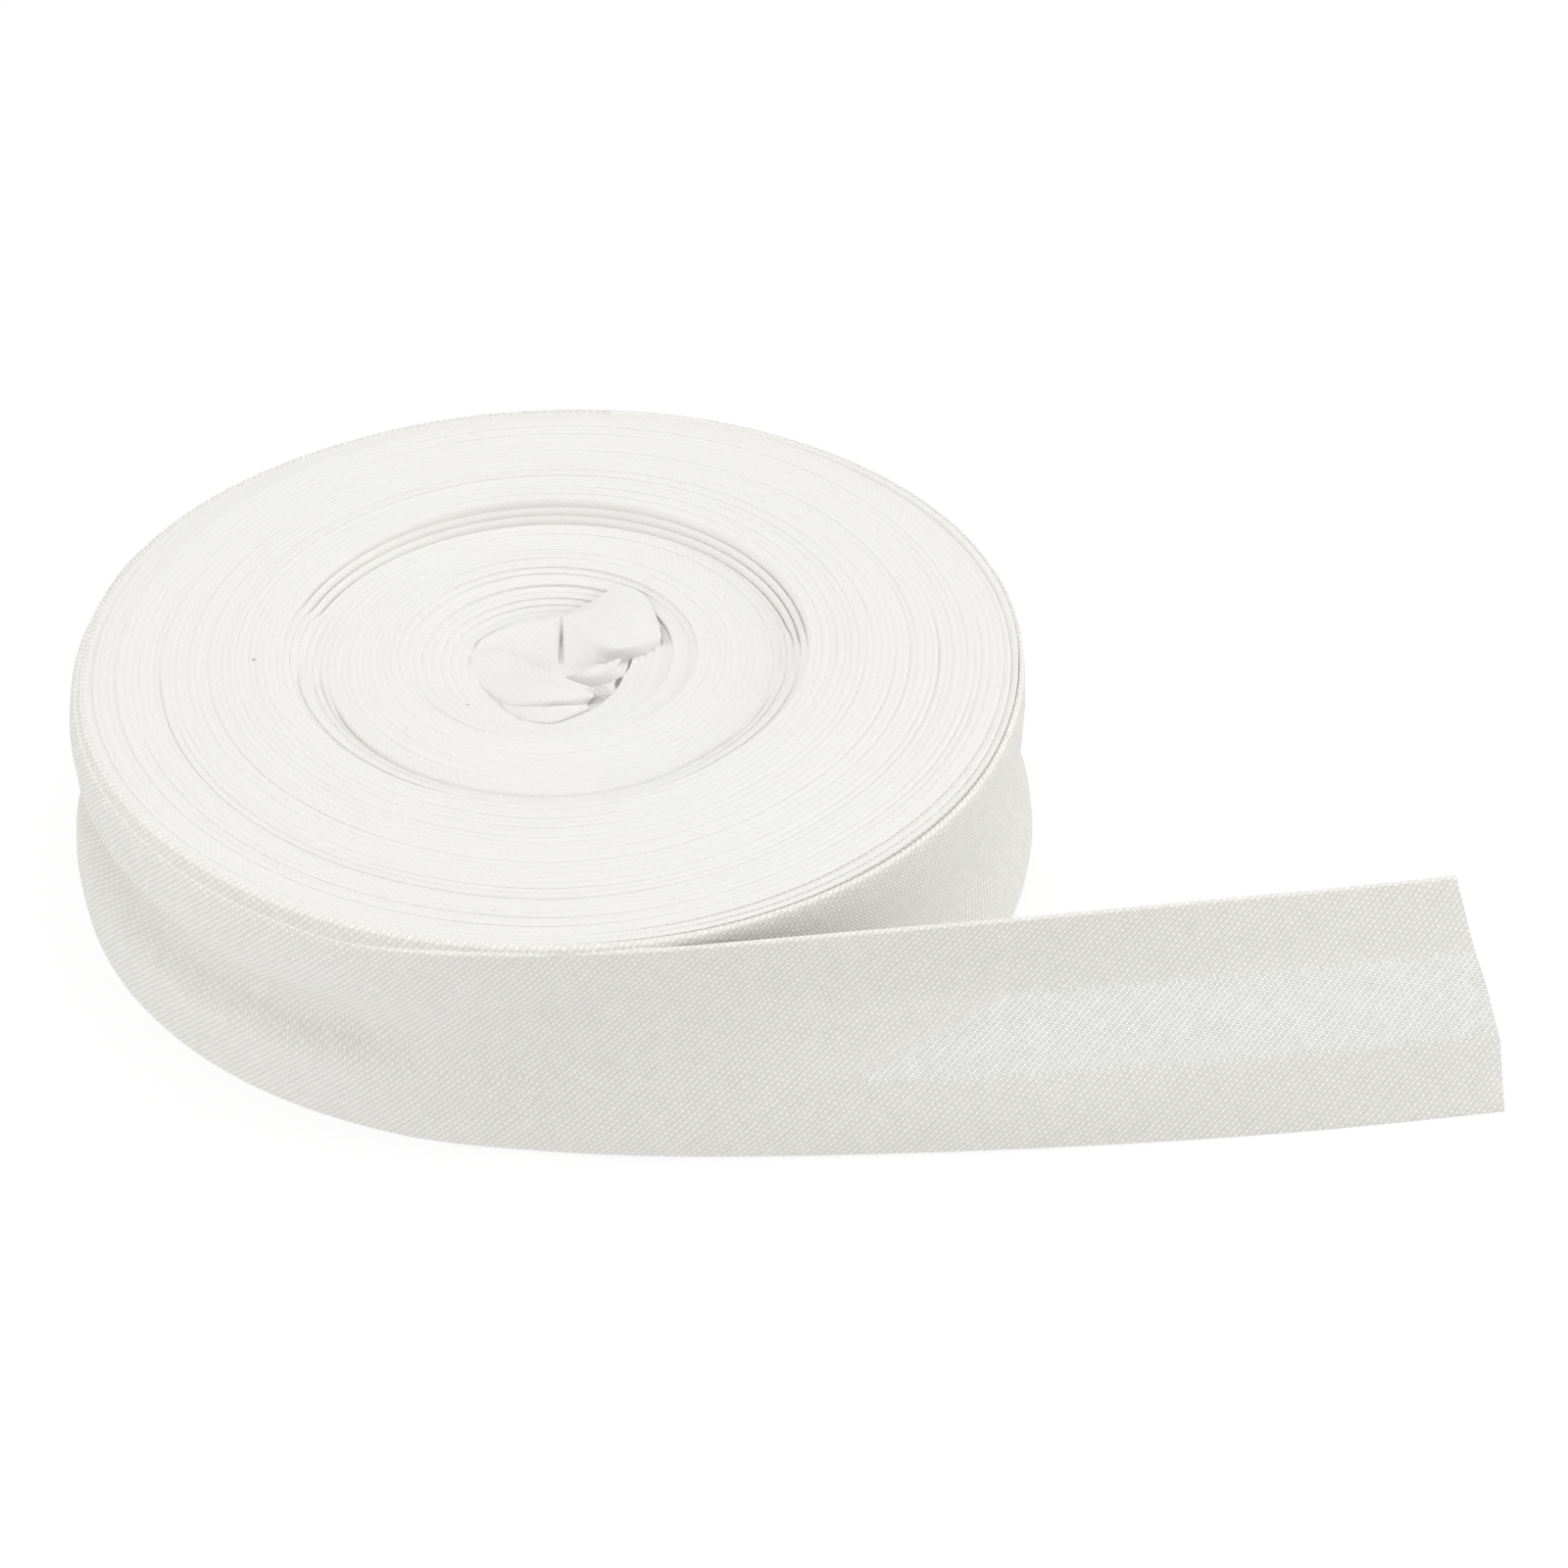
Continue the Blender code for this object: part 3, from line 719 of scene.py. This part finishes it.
def section_lines():
    """Places across the strip: distance from the raw edge, height along the web and depth behind it."""
    flap = np.linspace(FLAP_WIDTH, FOLD, FLAP_ROWS)
    web = np.linspace(FOLD, TAPE_WIDTH - FOLD, WEB_ROWS)
    low_fold, high_fold = FOLD - FOLD * np.sin(FOLD_TURN), TAPE_WIDTH - FOLD + FOLD * np.sin(FOLD_TURN)
    up = np.concatenate([flap, low_fold, web, high_fold, TAPE_WIDTH - flap[::-1]])
    turn = np.cos(FOLD_TURN)
    behind = FOLD * np.concatenate([2 + 0 * flap, 1 + turn, 0 * web, 1 - turn, 2 + 0 * flap])
    across = np.concatenate([[0], np.cumsum(np.hypot(np.diff(up), np.diff(behind)))])
    return across, up, behind


across, up, behind = section_lines()
print("cut width of the strip, mm:", across[-1].round(2))

# %% [markdown]
# ## How the loose end leans
#
# Past the roll only its own stiffness holds the tape up. A table gives its lean in degrees at five heights,
# for some distances past the roll. The sine and the cosine of the lean, added up from the foot, give a
# section that bends but never stretches. Moving its points by hand would stretch it.

# %% The leaning section
LEAN_HEIGHTS = (0.0, 4.0, 10.0, 16.0, 19.9)
LEAN = ((0, -12, 22, 0, -8, 2), (17, -8, 27, 11, 1, 3), (31, -6, 31, 22, 10, 7), (43, -4, 31, 31, 18, 12),
        (63, 20, 29, 35, 32, 29), (73, 29, 29, 35, 34, 34), (84, 35, 31, 34, 34, 34))
LEAN_PLACES = 195
LEAN_SOFTEN = 10


def tape_section(lean_rows):
    """Offset and height of the leaning section: the sine and cosine of the lean added up from the foot."""
    fine = np.linspace(0, TAPE_WIDTH, LEAN_PLACES)
    angle = np.radians(np.array([np.interp(fine, LEAN_HEIGHTS, row) for row in lean_rows]))
    padded = np.pad(angle, ((0, 0), (LEAN_SOFTEN, LEAN_SOFTEN)), mode="edge")
    window = np.ones(2 * LEAN_SOFTEN + 1) / (2 * LEAN_SOFTEN + 1)
    angle = np.array([np.convolve(line, window, mode="valid") for line in padded])
    back, high = [np.cumsum(part(angle), axis=1) * (fine[1] - fine[0]) for part in (np.sin, np.cos)]
    here, back, high = [np.array([np.interp(up, fine, line) for line in lines])
                        for lines in (angle, back, high)]
    return back + behind * np.cos(here), high - behind * np.sin(here)


first_offset, first_height = tape_section([LEAN[0][1:]])
print("height where the tape leaves the roll, mm:", first_height.max().round(1))

# %% The tape's path, on the roll and past it
HEADING = ((0, -8.0), (10, -3.5), (18, 0.0), (32, 2.2), (50, 4.3), (62, 6.0), (72, 8.3), (84, 9.2))
LOOSE_LENGTH = 83.6
FOOT_REACH = 0.4
STATION = 0.6
EASE_OFF = 14
PACKED_FROM, PACKED_OVER = 0.8, 0.2
CUT = ((0, 0.0), (6, 0.1), (10, -0.6), (15, -1.7), (20, -2.5))
CUT_REACH = 18.0


def wound_part():
    """The strip on the roll: the wall's inset and the rim's height, easing into the free run's section."""
    length = 2 * np.pi * ROLL_RADIUS * OUTER_TURNS
    wound = np.linspace(OUTER_TURNS, 0, int(length / STATION))
    theta = np.radians(turn_angle(wound))
    start = ramp(wound, PACKED_FROM, PACKED_OVER)
    packed = np.linalg.norm(turn_point(np.maximum(wound, 1.0)), axis=-1) + HALF_TURN_WIDTH
    radius = (wall_radius(wound) - CLOTH / 2) * (1 - start) + packed * start
    plan = np.stack([radius * np.cos(theta), radius * np.sin(theta)], axis=-1)
    run = along_length(plan)
    run = run - run[-1]
    rim = read_off(RIM_HEIGHT, bearing(wound))
    rim = rim + (turn_height(np.maximum(wound, 1.0)) - rim) * start
    share = (up / TAPE_WIDTH)[None]
    inset = waist_inset(wound[:, None], share) + behind[None]
    blend = ease(1 + run / EASE_OFF)[:, None]
    offset = inset * (1 - blend) + (first_offset - FOOT_REACH) * blend
    height = share * rim[:, None] * (1 - blend) + first_height * blend
    reach = radius[:, None] - offset
    return np.stack([reach * np.cos(theta)[:, None], reach * np.sin(theta)[:, None], height], axis=-1), run


def free_part():
    """The strip past the roll: it stands on its foot line, leans back by the table and ends in the cut.

    The foot line is the heading's cosine and sine added up. Near the end the cut's table moves each place
    along the strip.
    """
    free = np.linspace(0, LOOSE_LENGTH, int(LOOSE_LENGTH / STATION))
    start = np.radians(END_ANGLE - 360)
    step = free[1] - free[0]
    heading = np.radians(read_off(HEADING, free))
    foot = ROLL_RADIUS - CLOTH / 2 + FOOT_REACH
    foot_x, foot_y = [foot * part(start) + np.concatenate([[0], np.cumsum(part(heading[:-1]))]) * step
                      for part in (np.cos, np.sin)]
    columns = range(1, len(LEAN_HEIGHTS) + 1)
    offset, height = tape_section([[read_off(LEAN, s, k) for k in columns] for s in free])
    near_end = np.clip((free - LOOSE_LENGTH + CUT_REACH) / CUT_REACH, 0, 1)
    at = free[:, None] + near_end[:, None] * read_off(CUT, up)[None]
    turn = np.interp(at, free, heading)
    past = at - np.clip(at, 0, LOOSE_LENGTH)
    x = np.interp(at, free, foot_x) + past * np.cos(turn) - offset * np.sin(turn)
    y = np.interp(at, free, foot_y) + past * np.sin(turn) + offset * np.cos(turn)
    return np.stack([x, y, height], axis=-1), at


# %% The whole outer tape
SOFTEN = 5
SOFT_REACH = 7


def outer_tape_points():
    """The whole strip, one row of points for each station.

    Where it leaves the roll it fades, by a bell curve, into the mean of eleven stations.
    """
    wound, run = wound_part()
    free, at = free_part()
    points = np.concatenate([wound[:-1], free])
    along = np.concatenate([np.broadcast_to(run[:-1, None], (len(run) - 1, len(up))), at])
    window = 2 * SOFTEN + 1
    padded = np.pad(points, ((SOFTEN, SOFTEN), (0, 0), (0, 0)), mode="edge")
    added = np.cumsum(np.concatenate([np.zeros_like(padded[:1]), padded]), axis=0)
    soft = (added[window:] - added[:-window]) / window
    near = np.exp(-(along / SOFT_REACH) ** 2)[..., None]
    points = points * (1 - near) + soft * near
    points[..., 2] = np.maximum(points[..., 2], CLOTH / 2)
    return points, along


points, along = outer_tape_points()
cloth = np.stack([along + LOOSE_FROM, np.broadcast_to(across, along.shape)], axis=-1)
outer_tape = cloth_mesh("outer_tape", points[:, ::-1], cloth[:, ::-1], web_cotton)
print("outer tape's length, mm:", round(float(along[-1].max() - along[0].min()), 1))

# %% [markdown]
# ## The inner end
#
# The strip's inner end was pushed down into the hollow and its corner turned out over the turns. Crumpled
# cloth hides most of itself, so only what shows is made: a bed of cloth low in the hollow and four folds
# that stand on it. Each fold is a smooth surface through a small table of points, as x, y and height in
# tenths of a millimetre. A row climbs from the fold's hidden foot over its crest to its far edge, and the
# rows follow one another along the strip. A cloth simulation would be quicker to set up, but it wouldn't put
# the creases where they lie on the real roll.

# %% Where the folds of the inner end lie
REAR_FOLDS = (
    (-69, 39, 158, -69, 43, 165, -69, 52, 170.5, -67, 59, 172, -62, 66, 173, -55, 71, 174, -51, 77, 173),
    (-38, 41, 152, -37, 43, 160, -36, 61, 169, -35, 75, 176, -34, 80, 177, -33, 84, 176, -32, 89, 174),
    (-15, 32, 150, -15, 31, 158, -16, 57, 168, -17, 81, 177, -16, 83, 178, -15, 87, 177, -14, 94, 174),
    (2, 27, 149, 2, 24, 156, 1, 53, 168, 1, 84, 178, 1, 87, 179, 2, 91, 178, 2, 99, 174),
    (5, 38, 140, 5, 35, 147, 4, 64, 159, 4, 85, 176, 5, 88, 179, 6, 91, 178, 6, 100, 174),
    (8, 27, 149, 8, 24, 156, 8, 49, 167, 8, 80, 179, 10, 86, 180, 11, 92, 179, 12, 101, 176),
    (27, 32, 150, 26, 30, 157, 25, 42, 169, 23, 62, 181, 26, 80, 181, 29, 93, 183, 32, 110, 181),
    (41, 40, 150, 41, 36, 159, 39, 38, 170, 37, 46, 182, 40, 69, 182, 44, 93, 185, 45, 124, 182),
    (56, 47, 152, 56, 41, 161, 54, 39, 171, 52, 37, 182, 55, 61, 183, 58, 86, 187, 59, 130, 182),
    (68, 50, 154, 68, 43, 162, 67, 40, 171, 66, 38, 182, 69, 57, 184, 72, 80, 187, 73, 120, 182),
    (79, 49, 158, 79, 45, 164, 79, 43, 172, 80, 46, 181, 81, 57, 183, 83, 74, 185, 83, 100, 181),
    (90, 53, 164, 90, 51, 168, 91, 51, 175, 92, 54, 180, 92, 58, 181, 91, 63, 182, 91, 72, 180),
)
FRONT_FOLD = (
    (-69, 43, 162, -69, 43, 168, -71, 44, 171, -73, 32, 170,
     -73, 19, 168, -72, 8, 166, -69, 8, 162, -65, 19, 156),
    (-54, 46, 160, -53, 43, 170, -51, 44, 174, -57, 30, 171,
     -62, 14, 169, -63, 0, 167, -59, -4, 162, -55, 13, 156),
    (-34, 37, 158, -33, 32, 170, -31, 30, 175, -37, 24, 170,
     -43, 6, 172, -50, -10, 169, -46, -18, 164, -41, 2, 156),
    (-17, 28, 156, -15, 20, 170, -14, 16, 176, -19, 11, 172,
     -25, -4, 175, -35, -23, 172, -34, -28, 166, -27, -7, 158),
    (-1, 17, 156, 1, 8, 171, 2, 4, 177, -2, -2, 175,
     -7, -14, 178, -16, -29, 175, -18, -31, 168, -13, -13, 160),
    (9, 13, 156, 11, 2, 171, 12, -2, 177, 10, -9, 176, 7, -20, 179, 2, -32, 176, -1, -31, 169, 1, -13, 160),
    (22, 4, 158, 23, -5, 171, 24, -9, 176, 23, -16, 176,
     22, -25, 177, 19, -31, 173, 17, -28, 167, 17, -16, 160),
    (34, -1, 160, 35, -8, 169, 36, -11, 173, 35, -16, 173,
     35, -24, 173, 32, -24, 169, 30, -23, 165, 31, -13, 160),
)
ROLLED_LAYER = (
    (-47, -8, 164, -45, -19, 166, -43, -29, 166, -40, -34, 163, -37, -27, 158),
    (-28, -17, 166, -27, -29, 168.5, -26, -41, 168, -23, -47, 165, -21, -37, 160),
    (-11, -21, 167, -11, -32, 170, -9, -44, 169, -8, -52, 166, -7, -40, 160),
    (2, -20, 167, 3, -32, 170.5, 4, -44, 169, 5, -51, 166, 5, -38, 160),
    (15, -17, 166, 16, -30, 170, 17, -40, 169, 19, -42, 166, 19, -31, 160),
    (28, -11, 164, 29, -21, 166, 30, -31, 169, 32, -33, 166, 33, -22, 160),
)
CUT_LAYER = (
    (7, 10, 154, 8, 10, 161, 9, 6, 168, 10, 4, 174),
    (23, 7, 155, 24, 5, 164, 25, 4, 172, 25, 7, 178),
    (33, 7, 156, 34, 5, 165, 35, 5, 174, 35, 11, 179),
    (41, 7, 157, 41, 6, 166, 43, 8, 175, 46, 15, 181),
    (49, 10, 160, 50, 9, 169, 54, 15, 176, 59, 23, 181),
)

# %% The bed and the folds
BED_MIDDLE = (-0.4, 1.6)
BED_REACH = ((-180, 6.25), (-165, 6.05), (-150, 5.9), (-135, 6.05), (-120, 6.4), (-107, 7.0), (-98, 7.35),
             (-88, 7.25), (-76, 6.7), (-60, 6.4), (-42, 6.15), (-27, 6.2), (-20, 6.1), (-12, 5.75),
             (-5, 5.75), (1, 6.4), (5, 6.55), (20, 7.2), (45, 8.2), (90, 8.4), (110, 8.2), (120, 7.5),
             (130, 7.4), (150, 7.25), (165, 6.9), (180, 6.4))
BED_LOW = 16.25
BED_DISH, DISH_POWER = 0.35, 2.5
BED_WAVES = ((0.22, 1.3, 0.7, 0), (0.15, 0.8, -1.9, 1))
BED_STEPS = 61
FOLD_STEPS = 12


def curve_through(points, steps):
    """Catmull-Rom curve through points along the first axis, with this many steps between neighbours."""
    before = np.concatenate([2 * points[:1] - points[1:2], points[:-1]])
    after = np.concatenate([points[1:], 2 * points[-1:] - points[-2:-1]])
    slope = (after - before) / 2
    at = np.linspace(0, len(points) - 1, steps * (len(points) - 1) + 1)
    part = np.minimum(at.astype(int), len(points) - 2)
    t = (at - part)[:, None, None]
    start, end = points[part], points[part + 1]
    rise = ease(t)
    return start + (end - start) * rise + slope[part] * t * (1 - t) ** 2 - slope[part + 1] * t**2 * (1 - t)


def fold_surface(table):
    """Smooth surface through a table of points: the curve along its rows, then the same across them."""
    points = np.array(table).reshape(len(table), -1, 3) / 10
    along_rows = curve_through(points, FOLD_STEPS)
    return curve_through(along_rows.transpose(1, 0, 2), FOLD_STEPS).transpose(1, 0, 2)


def bed_surface():
    """A square grid rounded to a disc and stretched to the bed's reach, dished and gently waved.

    A place (u, v) of the square goes to u times the root of 1 - v squared over 2, and the same the other
    way round, which turns the square's rim into a circle without a pole in the middle.
    """
    u, v = np.meshgrid(np.linspace(-1, 1, BED_STEPS), np.linspace(-1, 1, BED_STEPS), indexing="ij")
    disc_x, disc_y = u * np.sqrt(1 - v * v / 2), v * np.sqrt(1 - u * u / 2)
    reach = read_off(BED_REACH, np.degrees(np.arctan2(disc_y, disc_x)))
    x, y = BED_MIDDLE[0] + disc_x * reach, BED_MIDDLE[1] + disc_y * reach
    waves = sum(size * np.sin(by_x * x + by_y * y + start) for size, by_x, by_y, start in BED_WAVES)
    out = np.hypot(disc_x, disc_y)
    return np.stack([x, y, BED_LOW + BED_DISH * out**DISH_POWER + waves * (1 - out**2)], axis=-1)


def tail_piece(name, points):
    """One part of the inner end as a sheet, with lengths along both ways as its cloth map."""
    run = along_length(points[:, points.shape[1] // 2])
    climb = along_length(points.transpose(1, 0, 2)).T
    cloth = np.stack([np.broadcast_to(run[:, None], climb.shape), climb], axis=-1)
    return cloth_mesh(name, points, cloth, tail_cotton)


layers = [tail_piece("inner_tail", bed_surface()[:, ::-1])]
for table in (REAR_FOLDS, CUT_LAYER):
    layers.append(tail_piece("inner_layer", fold_surface(table)[:, ::-1]))
for table in (FRONT_FOLD, ROLLED_LAYER):
    layers.append(tail_piece("inner_layer", fold_surface(table)))
inner_tail = layers[0]
with bpy.context.temp_override(active_object=inner_tail, selected_editable_objects=layers):
    bpy.ops.object.join()
print("inner tail's cloth, square mm:", round(sum(face.area for face in inner_tail.data.polygons) * 1e6))

# %% [markdown]
# ## Loose threads
#
# A bias-cut edge frays. A few short threads stand out of the crumpled end. Each is a thin tube along a bent
# line: a straight way from root to tip, plus a bow that is widest in the middle. A hair system would be
# quicker, but a mesh goes anywhere.

# %% The threads
THREAD_RADIUS = 0.06
THREAD_TAPER = 0.6
THREAD_STATIONS = 7
THREAD_SIDES = 5
ASKEW = (0.3, 0.2, 0.93)


def thread_piece(name, roots, tips, bow, seed):
    """Tubes from roots to tips, bent sideways by up to the bow, as one mesh with closed ends.

    A ring is two sides, square to the thread and to each other, times the cosine and the sine.
    """
    random = np.random.default_rng(seed)
    count = len(roots)
    share = np.linspace(0, 1, THREAD_STATIONS)[None, :, None]
    bend = random.uniform(-bow, bow, (count, 1, 3)) * np.sin(np.pi * share)
    line = roots[:, None] + (tips - roots)[:, None] * share + bend
    way = unit(tips - roots)
    side = unit(np.cross(way, ASKEW))
    other = np.cross(way, side)
    turn = np.linspace(0, 2 * np.pi, THREAD_SIDES, endpoint=False)
    ring = side[:, None] * np.cos(turn)[None, :, None] + other[:, None] * np.sin(turn)[None, :, None]
    thick = THREAD_RADIUS * (1 - THREAD_TAPER * share)[..., None]
    points = line[:, :, None] + ring[:, None] * thick
    number = np.arange(points[..., 0].size).reshape(points.shape[:3])
    beside = np.roll(number, -1, axis=2)
    quads = np.stack([number[:, :-1], beside[:, :-1], beside[:, 1:], number[:, 1:]], axis=-1).reshape(-1, 4)
    ends = np.concatenate([number[:, 0, ::-1], number[:, -1]])
    placed = (points.reshape(-1, 3) + ROLL_AXIS) * MM
    mesh = bpy.data.meshes.new(name)
    mesh.from_pydata(placed.tolist(), [], quads.tolist() + ends.tolist())
    mesh.shade_smooth()
    mesh.materials.append(thread_cotton)
    print(name, "has", count, "threads")
    return new_object(name, mesh)


# %% The fringe at the crumpled end
FRINGE_START = np.array([2.8, -1.5, 17.5])
FRINGE_END = np.array([4.4, -0.6, 17.2])
FRINGE_WAY = (0.55, -0.75, -0.25)
FRINGE_COUNT = 22
ROOT_SPREAD, TIP_SPREAD, FLATTER = 0.12, 0.45, (1, 1, 0.4)

random = np.random.default_rng(5)
share = np.linspace(0, 1, FRINGE_COUNT)[:, None]
roots = FRINGE_START + (FRINGE_END - FRINGE_START) * share
roots = roots + random.uniform(-ROOT_SPREAD, ROOT_SPREAD, (FRINGE_COUNT, 3))
tips = roots + FRINGE_WAY + random.uniform(-TIP_SPREAD, TIP_SPREAD, (FRINGE_COUNT, 3)) * FLATTER
tail_threads = thread_piece("tail_threads", roots, tips, bow=0.25, seed=6)

# %% [markdown]
# ## What stands for what
#
# Each piece rides on the frame's one body and replaces the plain solid that it stands for. The outer tape
# and the inner end are sheets of cloth.

# %% Ride and replace
for piece in (outer_turns, middle_turns, disc_turns, outer_tape, inner_tail, tail_threads):
    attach(piece, "root")
for piece in (outer_turns, middle_turns, disc_turns):
    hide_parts("wound_roll")
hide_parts("wound_roll", "loose_end")
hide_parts("inner_end")
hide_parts("inner_end")

# %% [markdown]
# ## Floor, light and camera
#
# The roll was photographed on pure white in very even light. The floor is a wide sheet that glows a little,
# so it comes out white under weak lamps and lights the walls from below, and the sky glows too. Five soft
# lamps stand around: one overhead for the roll's face, one on each side, one in front for the loose end and
# a weak one behind. One large lamp would be simpler, but would leave a wall dark. The camera looks down at
# 37 degrees through a long lens.

# %% Floor
FLOOR_REACH = 3.0
FLOOR_GREY = 0.25
FLOOR_GLOW = 0.76
SKY_GLOW = 0.35
WHITE = (1.0, 1.0, 1.0, 1.0)

scene = bpy.context.scene
scene.view_settings.view_transform = "Standard"
floor_mesh = bpy.data.meshes.new("floor")
corners = [(x * FLOOR_REACH, y * FLOOR_REACH, 0) for x, y in ((-1, -1), (1, -1), (1, 1), (-1, 1))]
floor_mesh.from_pydata(corners, [], [(0, 1, 2, 3)])
floor = new_object("floor", floor_mesh)
floor_mesh.materials.append(plain_material("pale_floor", {
    "Base Color": (FLOOR_GREY, FLOOR_GREY, FLOOR_GREY, 1.0), "Roughness": 1.0, "Specular IOR Level": 0.0,
    "Emission Color": WHITE, "Emission Strength": FLOOR_GLOW}))

# %% Sky and lamps
LAMPS = (("overhead_lamp", (0.0, 0.05, 1.0), 0.8, 4.25),
         ("left_lamp", (-0.9, -0.1, 0.4), 0.6, 2.6),
         ("right_lamp", (0.9, 0.1, 0.4), 0.6, 3.7),
         ("front_lamp", (0.0, -1.0, 0.45), 0.7, 2.4),
         ("rear_lamp", (0.0, 1.0, 0.5), 0.7, 0.6))


def soft_lamp(name, place, size, power):
    """A square lamp of this size in metres and power in watts, turned towards the roll."""
    data = bpy.data.lights.new(name, "AREA")
    data.size = size
    data.energy = power
    lamp = new_object(name, data)
    lamp.location = place
    lamp.rotation_euler = (-Vector(place)).to_track_quat("-Z", "Y").to_euler()


sky = bpy.data.worlds.new("soft_sky")
scene.world = sky
sky.use_nodes = True
sky.node_tree.nodes["Background"].inputs["Color"].default_value = WHITE
sky.node_tree.nodes["Background"].inputs["Strength"].default_value = SKY_GLOW
for lamp in LAMPS:
    soft_lamp(*lamp)
print("lamps:", len(LAMPS))

# %% Camera
LENS_PIXELS = 5000
FRAME_PIXELS = 1600
SENSOR = 36.0
ELEVATION = np.radians(37.1)
ROLL_TILT = np.radians(-0.2)
DISTANCE = 430.5
TARGET = (19.885, 0.0, 6.03)

aim = (np.array(TARGET) + ROLL_AXIS) * MM
back = Vector((0.0, -np.cos(ELEVATION), np.sin(ELEVATION)))
right, upward = Vector((1.0, 0.0, 0.0)), Vector((0.0, np.sin(ELEVATION), np.cos(ELEVATION)))
cosine, sine = np.cos(ROLL_TILT), np.sin(ROLL_TILT)
axes = (right * cosine + upward * sine, upward * cosine - right * sine, back)
turned = Matrix([[axis[k] for axis in axes] for k in range(3)]).to_4x4()
view = bpy.data.cameras.new("photo_camera")
view.sensor_width = SENSOR
view.lens = LENS_PIXELS / FRAME_PIXELS * SENSOR
view.clip_start = 0.01
camera = new_object("photo_camera", view)
camera.matrix_world = Matrix.Translation(Vector(aim) + back * DISTANCE * MM) @ turned
scene.camera = camera
print("camera at", [round(v, 3) for v in camera.location])
